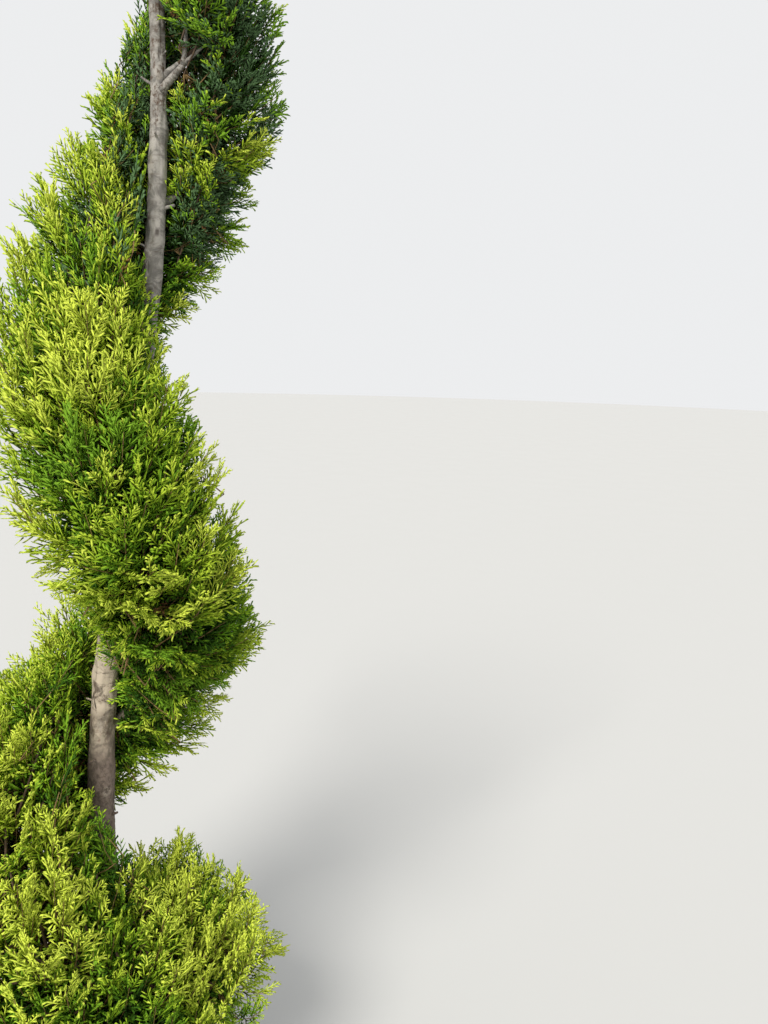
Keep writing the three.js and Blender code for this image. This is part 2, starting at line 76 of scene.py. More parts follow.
# Pot: radii and heights of the moulding, from the frame's box and the maker's sections
POT_HEIGHT = POT_HIGH.z
RIM_RADIUS = POT_HIGH.x
FOOT_RADIUS = 0.160
WALL_FOOT_RADIUS = 0.168
WALL_TOP_RADIUS = 0.206
WALL_THICKNESS = 0.005
FLOOR_HEIGHT = 0.006
RIM_HEIGHT = 0.034
SLOT_COUNT = 8
SLOT_SIZE = (0.040, 0.046, 0.024)
SLOT_OFFSET = 0.006
SLOT_ROUNDING = 0.004

# Soil
SOIL_LEVEL = SOIL_HIGH.z
SOIL_EDGE_DROP = 0.008
SOIL_GAP = 0.0006
SOIL_RINGS = 34
# Waves of the surface: share of the whole, cells across, and seed
SOIL_WAVES = [(0.55, 9, 41), (0.30, 23, 42), (0.15, 61, 43)]

# Trunk: radii, root flare, and the lean to the right
TRUNK_TOP = TRUNK_HIGH.z
TRUNK_TIP_RADIUS = 0.003
TRUNK_FOOT_RADIUS = 0.0275
TRUNK_TAPER = 0.85
FLARE_RADIUS = 0.013
FLARE_HEIGHT = 0.050
FLARE_LOBES = 3
FLARE_LOBE_DEPTH = 0.12
LEAN_OFFSET = 0.002
LEAN_SLOPE = 0.015
LEAN_SHIFT = 0.125
LEAN_FROM = 0.720
LEAN_TO = 2.000
# Heights between which the bark turns from painted shade to peeling, to streaks of painted sunlight and
# to grey
PEELING_FROM = (0.84, 0.93)
SUN_PATCH_FROM = (0.935, 0.970)
GREY_FROM = (0.98, 1.50)

# The ribbon's middle height at each quarter turn
QUARTER_HEIGHTS = np.array([
    0.450, 0.425, 0.525, 0.740, 0.920, 1.070, 1.360, 1.630,
    1.860, 2.030, 2.340, 2.500, 2.630, 2.750, 2.870, 2.960,
])
# Heights with the crown's radius there, and with the ribbon's half height beside the trunk
CROWN_RADIUS = np.array([
    (0.300, 0.350), (0.460, 0.358), (0.600, 0.370), (0.950, 0.320), (1.100, 0.265), (1.400, 0.295),
    (1.750, 0.225), (1.900, 0.230), (2.100, 0.195), (2.500, 0.145), (2.800, 0.085), (3.000, 0.030),
])
HALF_HEIGHT = np.array([
    (0.400, 0.205), (0.530, 0.255), (0.730, 0.340), (1.000, 0.270), (1.400, 0.330), (1.630, 0.340),
    (1.800, 0.380), (2.050, 0.310), (2.300, 0.215), (2.500, 0.180), (2.900, 0.100), (3.000, 0.050),
])
RIBBON_START = 0.25
RIBBON_START_FADE = 0.45
RIBBON_END = 13.6
RIBBON_END_FADE = 1.2
RIBBON_BLUNT = 0.22
RIBBON_LOWEST = 0.296
RIBBON_HIGHEST = 2.884
RADIAL_POWER = 2.4
HEIGHT_POWER = 1.5
TRUNK_SPACE = 0.14
MASSES = 13
RIBBON_QUARTERS = np.linspace(RIBBON_START, RIBBON_END, 500)

# Where the green starts below the skin, and how far limbs and sprays keep apart
CORE_INSET = 0.054
CORE_LEAST = 0.4
FULL_CROWN = 0.300
SMALLEST_SPRAY = 0.35
POT_SPACE_RADIUS = 0.236
POT_SPACE_HEIGHT = 0.368
LIMB_MARGIN = 0.005
# The stout forked limb that shows beside the upper trunk: foot, tip and radius of each part,
# with the places counted from the middle of the trunk at the fork's height
FORK_HEIGHT = 2.010
FORK_LIMBS = [
    ((0.004, -0.006, 0.000), (0.040, -0.030, 0.040), 0.0072),
    ((0.037, -0.028, 0.036), (0.042, -0.040, 0.094), 0.0044),
    ((0.038, -0.029, 0.038), (0.070, -0.046, 0.066), 0.0034),
]
# An open place in front of it, counted the same way
FORK_SPACE_OFFSET = (0.036, -0.062, 0.040)
FORK_SPACE = 0.048

# A knot no larger than this is a hollow with painted shade in it, and a larger one is a pale healed scar
SMALL_KNOT = 0.0085
# The size of a full scar, and the trunk's radius below which its relief is shallower
FULL_SCAR = 0.018
SLIM_TRUNK = 0.016
# Relief of the bark, as shares of its depth: broad swells, furrows and fine wrinkles
BARK_SWELL = 1.6
BARK_FURROW = 0.75
BARK_WRINKLE = 0.35
# Angle, height, size and height of the swelling where each bough was cut off
KNOTS = [
    (-1.50, 1.790, 0.0080, 0.0016),
    (-1.75, 1.695, 0.0085, 0.0018),
    (-1.60, 1.678, 0.0070, 0.0012),
    (-1.35, 2.105, 0.0070, 0.0014),
    (2.40, 1.840, 0.0085, 0.0018),
    (0.90, 2.060, 0.0080, 0.0016),
    (-2.2, 0.74, 0.018, 0.0070),
    (-1.2, 0.80, 0.014, 0.0050),
    (-1.9, 0.93, 0.015, 0.0045),
    (2.6, 1.02, 0.014, 0.0050),
    (-1.0, 0.62, 0.016, 0.0060),
    (-1.6, 2.03, 0.010, 0.0035),
    (-0.5, 2.16, 0.010, 0.0040),
    (-2.5, 1.90, 0.012, 0.0040),
    (-1.3, 2.29, 0.009, 0.0030),
    (0.8, 1.30, 0.012, 0.0040),
    (1.9, 1.48, 0.012, 0.0040),
    (0.3, 1.95, 0.010, 0.0035),
]

# Radii inside the ribbon: leaders and forks as shares of a bough's, and the twigs of the sprays
LEADER_SHARE = 0.5
FORK_SHARE = 0.34
# Quarter turns between leaders and between rows of forks, the forks' depth below the skin, and the
# first angle from the outside, the last one and how many in a row, in degrees
LEADER_STEP = 0.15
FORK_STEP = 0.16
FORK_DEPTH = 0.125
FORK_ANGLES = (-68, 68, 7)
SPRAY_TWIG = 0.0013
FEEDING_TWIG = 0.0020

# Snags of pruned boughs: how many, and between which heights
SNAGS = 44
SNAG_HEIGHTS = (0.46, 2.72)

# Boughs: the part's own rule
BOUGH_RISE = 0.75
BOUGH_TAPER = 0.62
BOUGH_STEM_SHOWS = 0.008
BOUGH_WIDE_CROWN = 0.170
BOUGH_LONGEST = 0.300
BOUGH_RADIUS = np.array([(0.400, 0.0105), (1.200, 0.009), (2.000, 0.007), (2.800, 0.0036)])

# A spray points out of the skin and upwards, and hangs outwards where the skin faces down
AIM_SKIN = 0.6
AIM_LIFT = 0.85
AIM_LIFT_FROM = -0.75
AIM_HANG_BELOW = -0.3
AIM_HANG = 0.55
AIM_SPREAD = 0.1
AIM_JITTER = 0.22
# How often a spray is tried, and how much more it leans towards the trunk each time that its root
# finds no room
AIM_TRIES = 10
RIDGE_LEAN = 0.12

# Where the inner side's sprays close up in front of the trunk's foot, and how many more they are
CLOSER_QUARTER = 1.80
CLOSER_REACH = 0.30
CLOSER = 3.0

# How far a cord may stand out of the box of the solids
STAND_PROUD = 0.018

# Painted shade and painted sunlight on the growth, each a place, how far it reaches, and how much lighter
# it is there: the shaded hollow in front of the trunk's foot, and the sunny shoulder low on the right
SHADED_HOLLOW = ((0.09, -0.25, 0.65), 0.09, -0.35)
SUNNY_SHOULDER = ((0.21, -0.20, 0.56), 0.11, 0.40)
# Two features of the form, each a place, how far it reaches, and how far the sprays stand out there:
# the crest of the low turn on the left, and the hanging front of the middle turn
LEFT_CREST = ((-0.06, 0.02, 1.10), 0.09, 0.040)
HANGING_FRONT = ((-0.03, -0.19, 1.23), 0.07, 0.015)

# The leading shoot's sprays
TIP_SPRAYS = 120
TIP_FROM = 2.735
TIP_TO = 2.985
# How much further they lean out at its foot than at its tip, how far at its tip, their length, and
# what the middle of the shoot adds to it
TIP_LEAN = (0.75, 0.06)
TIP_LENGTH = 0.066
TIP_FULLER = 0.018

# A spray: how its length varies, how much shorter it is each time that it finds no room, how far it
# sags, and the shares of its length where it has to be clear of the limbs
SPRAY_LENGTHS = (0.80, 1.15)
SPRAY_SHORTER = 0.05
SPRAY_SAG = (0.08, 0.19)
CLEAR_SHARES = (0.0, 0.35, 0.7, 1.0)
# Its branchlets: the first and last share of its length, their angle at the root and how much less it
# is at the tip, and the least length of one with what the fullest part adds
BRANCHLET_SHARES = (0.20, 0.90)
BRANCHLET_ANGLE = (40, 16)
BRANCHLET_LENGTH = (0.09, 0.24)
# The side cords of a branchlet: where the first sits and how far they reach along it, the least and
# greatest angle, and the length at the root and how much less it is at the tip
SIDE_CORD_SHARES = (0.12, 0.70)
SIDE_CORD_ANGLE = (24, 40)
SIDE_CORD_LENGTH = (0.42, 0.20)
# Where the blunt tip of a cord begins, and how wide its foot is beside its tip
BLUNT_FROM = 0.88
CORD_FOOT = 0.8
# How much lighter a cord is towards its spray's tip, and towards its branchlet's
TIP_LIGHT = 0.60
NEW_LIGHT = 0.30
# The inner side's sprays: how many for each one on the skin, how long, and how much darker
INNER_MANY = 1.45
INNER_LONG = 0.8
INNER_SHADE = 0.14

# A cord's faces from its four corners, and the most faces that a piece may have
CORD_FACES = np.array([(0, 1, 2), (0, 3, 1), (0, 2, 3), (1, 3, 2)])
MOST_FACES = 190000

# Towards the key light; towards painted sunlight, partly the yellower young growth of a sunny side; and
# towards painted sunlight on the low turn
SUN_SIDE = np.array([-0.47, -0.51, 0.72])
PAINTED_SUN_SIDE = np.array([-0.46, -0.40, 0.79])
LOW_PAINTED_SUN_SIDE = np.array([0.75, -0.25, 0.60])
# What a spray's light is made of: a base, and what it gains on the sunny side (painted sunlight, partly
# the yellower growth there), in a patch, high up (painted shade), in the band of young growth, on the low
# turn and on that turn's own sunny side (both painted light)
LIGHT = dict(base=0.485, side=0.25, patch=0.44, high=-0.07, band=0.13, low=0.02, low_painted_sun=0.27)
# The height of a band with more young growth, and how much darker a spray is that stands back
YOUNG_BAND = 1.14
SINK_SHADE = 0.34

# Tints from the darkest to the lightest, with the value where each begins
TINT_STEPS = [
    ("deep", -9.0), ("shade", 0.20), ("leaf", 0.34), ("fresh", 0.47), ("lime", 0.60), ("tip", 0.76),
    ("sunlit", 0.96),
]
# Between these values the greener patches take another tint, and so does the growth above a height, as
# painted bluish shade: a patch is greener where its random wave is over the limit
GRASS_VALUES = (0.42, 0.68)
GRASS_PATCHES = 0.60
COOL_VALUES = (0.16, 0.45)
COOL_FROM = 1.75
# How far along a spray, from its root, branchlets may be dry
DRY_SHARE = 0.36

# Layers of sprays from the skin inwards: how many for each one on the skin, how much closer where
# the crown is slim, the least and greatest depth of their tips, length, branchlets, side cords on
# each, thickness of the cords, change of light, the shares of dry branchlets and dead sprays, and
# how much thinner the layer is high up
LAYERS = [
    dict(many=1.00, crowding=1.25, depth=(0.000, 0.050), long=1.00, branchlets=14, cords=8,
         thick=1.00, light=0.09, dry=0.01, dead=0.0, open_top=0.0),
    dict(many=0.75, crowding=1.15, depth=(0.050, 0.078), long=0.85, branchlets=9, cords=6,
         thick=1.20, light=-0.10, dry=0.06, dead=0.006, open_top=0.30),
    dict(many=0.62, crowding=1.00, depth=(0.085, 0.135), long=0.80, branchlets=7, cords=4,
         thick=2.10, light=-0.30, dry=0.10, dead=0.015, open_top=0.45),
]

# The photographer's eye: place, and turn to the right, tilt down and roll in degrees
EYE_PLACE = (0.0, -1.40, 1.60)
EYE_YAW = 22.0
EYE_PITCH = 11.5
EYE_ROLL = 1.5
# The focal length in pixels of the 1024 pixel high picture
EYE_FOCUS = 769.0
PICTURE_HEIGHT = 1024.0
SENSOR = 36.0

# Steps that fill a square evenly: one over the plastic number, and its square
EVEN_STEPS = (0.7548776662466927, 0.5698402909980532)
# The angle between leaves that follow each other round a stem, and straight up
GOLDEN_ANGLE = math.pi * (3 - math.sqrt(5))
UP = np.array([0.0, 0.0, 1.0])


# Settings that a user would change

def length(name, description, default):
    return bpy.props.FloatProperty(
        name=name, description=description, default=default, unit="LENGTH", min=0.0, precision=4
    )


def number(name, description, default):
    return bpy.props.FloatProperty(name=name, description=description, default=default)


def count(name, description, default):
    return bpy.props.IntProperty(name=name, description=description, default=default, min=1)


def colour(name, description, default):
    return bpy.props.FloatVectorProperty(
        name=name, description=description, default=default, subtype="COLOR", size=3, min=0.0, max=1.0
    )


class PotSettings(bpy.types.PropertyGroup):
    rim_radius: length("Rim radius", "Outer radius of the rolled rim", RIM_RADIUS)
    height: length("Height", "From the underside to the top of the rim", POT_HEIGHT)
    sides: count("Sides", "Faces round the pot", 96)
    plastic: colour("Plastic", "Recycled black plastic", (0.046, 0.049, 0.054))
    dust: colour("Dust", "Dried splashes of soil", (0.120, 0.108, 0.095))


class SoilSettings(bpy.types.PropertyGroup):
    lump: length("Lump height", "How far the surface rises and falls", 0.0035)
    chips: count("Bark chips", "Chips lying on the mix", 1500)
    dark: colour("Moist mix", "Moist potting mix", (0.030, 0.018, 0.011))
    light: colour("Dry mix", "Dry crust on the lumps", (0.125, 0.080, 0.050))
    chip: colour("Chip", "Bark chip", (0.135, 0.070, 0.036))
    grit: colour("Grit", "Pale grit", (0.50, 0.46, 0.40))


class BarkSettings(bpy.types.PropertyGroup):
    relief: length("Relief", "Depth of the bark's furrows", 0.0016)
    ring_step: length("Ring step", "Height of one ring of the trunk's mesh", 0.024)
    pale: colour("Pale bark", "Weathered beige bark", (0.350, 0.325, 0.290))
    warm: colour("Warm bark", "Beige bark low on the trunk", (0.48, 0.40, 0.305))
    mauve: colour("Mauve bark", "Shaded bark near the foot", (0.200, 0.150, 0.120))
    brown: colour("Brown bark", "Bare brown patches", (0.082, 0.050, 0.032))
    rust: colour("Rusty bark", "Fresh bark under the peeling strips", (0.22, 0.105, 0.062))
    scar: colour("Scars", "Healed wood where boughs were cut off", (0.36, 0.31, 0.25))
    branch: colour("Branch", "Bark of the branches inside", (0.135, 0.085, 0.050))
    twig: colour("Twig", "Young orange-brown twigs", (0.30, 0.185, 0.070))


class FoliageSettings(bpy.types.PropertyGroup):
    per_square_metre: number("Sprays", "Sprays on a square metre of the ribbon's skin", 300.0)
    spray_length: length("Spray length", "Length of a full spray", 0.200)
    cord_width: length("Cord width", "Half the width of the scaly cords", 0.0015)


class TintSettings(bpy.types.PropertyGroup):
    sunlit: colour("Sunlit tips", "Newest growth in full sun", (0.68, 0.79, 0.085))
    tip: colour("Tips", "Newest growth", (0.58, 0.69, 0.075))
    lime: colour("Lime", "Young growth in the sun", (0.41, 0.55, 0.036))
    fresh: colour("Fresh green", "Growth of the season", (0.250, 0.410, 0.018))
    grass: colour("Grass green", "Greener growth, in patches", (0.195, 0.375, 0.021))
    leaf: colour("Leaf green", "Older growth", (0.128, 0.270, 0.011))
    shade: colour("Shade green", "Growth in the shade", (0.057, 0.152, 0.009))
    deep: colour("Deep green", "Inside the ribbon", (0.027, 0.078, 0.006))
    # Painted bluish shade on the darker growth high up
    painted_cool_shade: colour("Cool green", "Shaded growth high up", (0.100, 0.185, 0.072))
    dry: colour("Dry brown", "Dead sprays inside", (0.25, 0.13, 0.045))


class StageSettings(bpy.types.PropertyGroup):
    floor: colour("Floor", "Plain pale floor", (0.50, 0.50, 0.49))
    sky: colour("Studio", "Soft light from all round", (0.98, 0.99, 1.0))
    sky_strength: number("Studio strength", "Strength of the light from all round", 0.86)
    key_power: number("Key light", "Strength of the light from the front left", 3.2)
    key_angle: number("Key softness", "How wide the key light is, in degrees", 24.0)


# The ribbon's rule

def smoothstep(x, low, high):
    t = np.clip((x - low) / (high - low), 0.0, 1.0)
    return t * t * (3.0 - 2.0 * t)


def along(table, x):
    return np.interp(x, table[:, 0], table[:, 1])


def trunk_x(z):
    bend = LEAN_SHIFT * smoothstep(z, LEAN_FROM, LEAN_TO)
    return LEAN_OFFSET + LEAN_SLOPE * (z - SOIL_LEVEL) + bend


def flare(z):
    return np.exp(-(z - SOIL_LEVEL) / FLARE_HEIGHT)


def trunk_radius(z):
    t = np.clip((z - SOIL_LEVEL) / (TRUNK_TOP - SOIL_LEVEL), 0.0, 1.0)
    shaft = TRUNK_TIP_RADIUS + (TRUNK_FOOT_RADIUS - TRUNK_TIP_RADIUS) * (1.0 - t) ** TRUNK_TAPER
    return shaft + FLARE_RADIUS * flare(z)


def trunk_middle(z):
    """The middle of the leaning trunk at a height."""
    return np.stack([trunk_x(z), np.zeros_like(z), z], axis=-1)


def from_trunk_middle(point):
    """How far a point is from the trunk's middle line."""
    return np.hypot(point[..., 0] - trunk_x(point[..., 2]), point[..., 1])


def middle_height(quarter):
    """The ribbon's middle line, by a smooth curve through the quarter heights."""
    before = 2 * QUARTER_HEIGHTS[0] - QUARTER_HEIGHTS[1]
    after = 2 * QUARTER_HEIGHTS[-1] - QUARTER_HEIGHTS[-2]
    heights = np.concatenate(([before], QUARTER_HEIGHTS, [after]))
    i = np.clip(np.floor(quarter), 0, len(QUARTER_HEIGHTS) - 2).astype(int)
    t = quarter - i
    a, b, c, d = heights[i], heights[i + 1], heights[i + 2], heights[i + 3]
    square = 2 * a - 5 * b + 4 * c - d
    cube = 3 * b - a - 3 * c + d
    return 0.5 * (2 * b + t * (c - a + t * (square + t * cube)))


def azimuth_of(quarter):
    return (1.0 - quarter) * math.pi / 2


def level_direction(azimuth):
    return np.stack([np.cos(azimuth), np.sin(azimuth), np.zeros_like(azimuth)], axis=-1)


def outwards(quarter):
    return level_direction(azimuth_of(quarter))


def beside_trunk(quarter, reach, z):
    """A point at a reach from the leaning trunk's middle, in the direction of a quarter turn."""
    return trunk_middle(z) + outwards(quarter) * reach[..., None]


def inner_radius(z, radius):
    """Where the ribbon's inner side is, which faces the trunk."""
    return trunk_radius(z) + radius * TRUNK_SPACE


def shrunk(size, inset):
    """A radius or half height of the ribbon, below the skin."""
    return np.maximum(size - inset, size * CORE_LEAST)


def turns_from(quarter, point):
    """Quarter turns from a place of the ribbon to a point, round the leaning trunk."""
    angle = np.arctan2(point[..., 1], point[..., 0] - trunk_x(point[..., 2]))
    turns = (azimuth_of(quarter) - angle) / (math.pi / 2)
    return turns - 4 * np.round(turns / 4)


def fade_in(t):
    return np.clip(t + RIBBON_BLUNT, 0.0, 1.0)


def section(quarter):
    """The ribbon's middle height and radius, and its half heights above and below."""
    z = middle_height(quarter)
    start_fade = fade_in((quarter - RIBBON_START) / RIBBON_START_FADE)
    end_fade = fade_in((RIBBON_END - quarter) / RIBBON_END_FADE)
    fade = np.sqrt(start_fade * end_fade)
    half = along(HALF_HEIGHT, z) * fade
    radius = along(CROWN_RADIUS, z) * (0.6 + 0.4 * fade)
    above = np.minimum(half, RIBBON_HIGHEST - z)
    below = np.minimum(half, z - RIBBON_LOWEST)
    return z, radius, above, below


def skin(quarter, angle, inset=0.0):
    """A point on the ribbon's skin: -90 degrees below, beside the trunk, 0 outside and +90 on top."""
    z, radius, above, below = section(quarter)
    side = np.where(angle > 0, above, below)
    h = shrunk(side, inset) * np.sign(angle) * np.abs(np.sin(angle)) ** (2 / HEIGHT_POWER)
    r = shrunk(radius, inset) * np.maximum(np.cos(angle), 0.0) ** (2 / RADIAL_POWER)
    return beside_trunk(quarter, np.maximum(r, inner_radius(z + h, radius)), z + h)


def skin_edges(quarter, angle, step):
    """The way along the ribbon and the way over it, across two steps of the skin."""
    along_ribbon = skin(quarter + step, angle) - skin(quarter - step, angle)
    over_ribbon = skin(quarter, angle + step) - skin(quarter, angle - step)
    return along_ribbon, over_ribbon


def skin_normal(quarter, angle):
    step = 0.02
    a = np.clip(angle, step - math.pi / 2, math.pi / 2 - step)
    along_ribbon, over_ribbon = skin_edges(quarter, a, step)
    return unit(np.cross(over_ribbon, along_ribbon))


def spray_scale(quarter):
    return np.clip(section(quarter)[1] / FULL_CROWN, SMALLEST_SPRAY, 1.0)


def core_inset(quarter):
    return CORE_INSET * spray_scale(quarter)


def inside_core(quarter, point, inset):
    z, radius, above, below = section(quarter)
    height = point[..., 2]
    r = from_trunk_middle(point)
    lift = shrunk(np.where(height > z, above, below), inset)
    outward = (r / shrunk(radius, inset)) ** RADIAL_POWER
    up_down = (np.abs(height - z) / np.maximum(lift, 1e-4)) ** HEIGHT_POWER
    return (r >= inner_radius(height, radius)) & (outward + up_down < 1)


def heart(quarter):
    """The middle of the ribbon's section, well inside it."""
    z, radius, _, _ = section(quarter)
    return beside_trunk(quarter, (inner_radius(z, radius) + radius - core_inset(quarter)) / 2, z)


def clear_of_limbs(point):
    """Out of the trunk, of the pot's space and of the open place in front of the forked limb."""
    z = point[..., 2]
    from_trunk = from_trunk_middle(point) - trunk_radius(z)
    over_pot = np.hypot(point[..., 0], point[..., 1]) < POT_SPACE_RADIUS + LIMB_MARGIN
    lowest = np.where(over_pot, POT_SPACE_HEIGHT + LIMB_MARGIN, RIBBON_LOWEST)
    fork_space = trunk_middle(FORK_HEIGHT) + FORK_SPACE_OFFSET
    from_fork = np.linalg.norm(point - fork_space, axis=-1)
    return (from_trunk > LIMB_MARGIN) & (z > lowest) & (from_fork > FORK_SPACE)


def clear_along(root, tip, shares):
    """Whether each spray is clear at these shares of its length."""
    return np.all([clear_of_limbs(root * (1 - share) + tip * share) for share in shares], axis=0)


# Vectors and meshes from arrays

def unit(v):
    return v / np.maximum(np.linalg.norm(v, axis=-1, keepdims=True), 1e-9)


def within(value, limits):
    return (value > limits[0]) & (value < limits[1])


def across(v, guide):
    """The part of a guide direction that is square to v."""
    return unit(guide - v * np.sum(guide * v, axis=-1, keepdims=True))


def curve(a, b, c, t):
    """A smooth curve from a past b to c, and its direction."""
    place = a * (1 - t) ** 2 + b * 2 * t * (1 - t) + c * t ** 2
    direction = unit((b - a) * (1 - t) + (c - b) * t)
    return place, direction


def spread(total):
    """Pairs of numbers that fill the unit square evenly."""
    i = np.arange(total)
    return tuple((0.5 + i * step) % 1.0 for step in EVEN_STEPS)


def lattice(u, v, across_cells, up_cells, seed):
    """Smooth random waves from 0 to 1 over a sheet that joins itself in u."""
    grid = np.random.default_rng(seed).random((up_cells + 1, across_cells))
    x = (u % 1.0) * across_cells
    y = np.clip(v, 0.0, 0.999999) * up_cells
    i, j = np.floor(x).astype(int) % across_cells, np.floor(y).astype(int)
    s, t = smoothstep(x % 1.0, 0.0, 1.0), smoothstep(y % 1.0, 0.0, 1.0)
    k = (i + 1) % across_cells
    low = grid[j, i] * (1 - s) + grid[j, k] * s
    high = grid[j + 1, i] * (1 - s) + grid[j + 1, k] * s
    return low * (1 - t) + high * t


def add_object(name, data):
    thing = bpy.data.objects.new(name, data)
    bpy.context.scene.collection.objects.link(thing)
    return thing


def mesh_piece(name, points, triangles, material):
    """A finished piece from arrays, with its place in its mesh."""
    mesh = bpy.data.meshes.new(name)
    mesh.vertices.add(len(points))
    mesh.vertices.foreach_set("co", points.astype(np.float32).ravel())
    mesh.loops.add(triangles.size)
    mesh.loops.foreach_set("vertex_index", triangles.astype(np.int32).ravel())
    mesh.polygons.add(len(triangles))
    mesh.polygons.foreach_set("loop_start", np.arange(0, triangles.size, 3, dtype=np.int32))
    mesh.update(calc_edges=True)
    mesh.shade_smooth()
    mesh.materials.append(material)
    return add_object(name, mesh)


def repeated(faces, copies, corners):
    """The faces of many copies of a small mesh, each copy with so many corners."""
    triangles = faces[None] + (np.arange(copies) * corners)[:, None, None]
    return triangles.reshape(-1, 3)


def tubes(a, b, c, start_radius, end_radius, sides, rings):
    """Closed, tapering, curved twigs, one for each row of a, b and c."""
    total = len(a)
    t = np.linspace(0.0, 1.0, rings)
    place, direction = curve(a[:, None], b[:, None], c[:, None], t[None, :, None])
    guide = np.where(np.abs(direction[..., 2:3]) > 0.9, np.array([1.0, 0.0, 0.0]), UP)
    side = across(direction, guide)
    other = np.cross(direction, side)
    radius = start_radius[:, None] * (1 - t) + end_radius[:, None] * t
    turn = np.arange(sides) * 2 * math.pi / sides
    ring = (
        place[:, :, None]
        + side[:, :, None] * (radius[:, :, None] * np.cos(turn))[..., None]
        + other[:, :, None] * (radius[:, :, None] * np.sin(turn))[..., None]
    )
    ends = np.stack([a, c + direction[:, -1] * end_radius[:, None]], axis=1)
    points = np.concatenate([ring.reshape(total, -1, 3), ends], axis=1)
    return points.reshape(-1, 3), repeated(tube_faces(sides, rings), total, rings * sides + 2)


def tube_faces(sides, rings):
    faces = []
    root, tip = rings * sides, rings * sides + 1
    for j in range(sides):
        k = (j + 1) % sides
        faces.append((root, k, j))
        faces.append((tip, (rings - 1) * sides + j, (rings - 1) * sides + k))
        for i in range(rings - 1):
            a, b = i * sides + j, i * sides + k
            faces.append((a, b, b + sides))
            faces.append((a, b + sides, a + sides))
    return np.array(faces)


def joined(parts):
    """Several arrays of points and triangles as one."""
    start = 0
    points, triangles = [], []
    for part_points, part_triangles in parts:
        points.append(part_points)
        triangles.append(part_triangles + start)
        start += len(part_points)
    return np.concatenate(points), np.concatenate(triangles)


# Modelling by hand

def deselect_all():
    bpy.ops.object.select_all(action="DESELECT")


def select_only(*pieces):
    """Selects some pieces and makes the first of them active."""
    deselect_all()
    for piece in pieces:
        piece.select_set(True)
    bpy.context.view_layer.objects.active = pieces[0]


def edit(piece):
    """Opens a piece for editing, with all of it selected."""
    select_only(piece)
    bpy.ops.object.mode_set(mode="EDIT")
    bpy.ops.mesh.select_all(action="SELECT")


def leave_edit():
    bpy.ops.object.mode_set(mode="OBJECT")


def start_disc(name, radius, z, sides):
    deselect_all()
    bpy.ops.mesh.primitive_circle_add(
        vertices=sides, radius=radius, fill_type="NGON", location=(0, 0, z)
    )
    piece = bpy.context.active_object
    piece.name = name
    bpy.ops.object.transform_apply(location=True, rotation=True, scale=True)
    return piece


def raise_ring(old, new, shift=0.0):
    """Extrudes the selected end to the next radius and height of a profile."""
    move = (shift, 0.0, new[1] - old[1])
    bpy.ops.mesh.extrude_region_move(TRANSFORM_OT_translate={"value": move})
    size = new[0] / old[0]
    bpy.ops.transform.resize(value=(size, size, 1.0))


def raise_profile(piece, profile):
    """Opens a disc for editing and raises it through a profile of radii and heights."""
    edit(piece)
    for old, new in zip(profile, profile[1:]):
        raise_ring(old, new)


def set_values(thing, values):
    for key, value in values.items():
        setattr(thing, key, value)


def apply_modifier(piece, kind, **values):
    select_only(piece)
    modifier = piece.modifiers.new(kind.title(), kind)
    set_values(modifier, values)
    bpy.ops.object.modifier_apply(modifier=modifier.name)


def tidy_normals(piece):
    edit(piece)
    bpy.ops.mesh.remove_doubles(threshold=1e-6)
    bpy.ops.mesh.normals_make_consistent(inside=False)
    leave_edit()


def places(piece):
    co = np.empty(len(piece.data.vertices) * 3, np.float32)
    piece.data.vertices.foreach_get("co", co)
    return co.reshape(-1, 3).astype(float)


def set_places(piece, co):
    piece.data.vertices.foreach_set("co", co.astype(np.float32).ravel())
    piece.data.update()


def finish_piece(piece, nodes, material=None):
    if material:
        piece.data.materials.clear()
        piece.data.materials.append(material)
    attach(piece, "root")
    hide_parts(*nodes)


# Materials

def set_inputs(node, values):
    """Sets constants on the sockets of a node."""
    for key, value in values.items():
        node.inputs[key].default_value = value


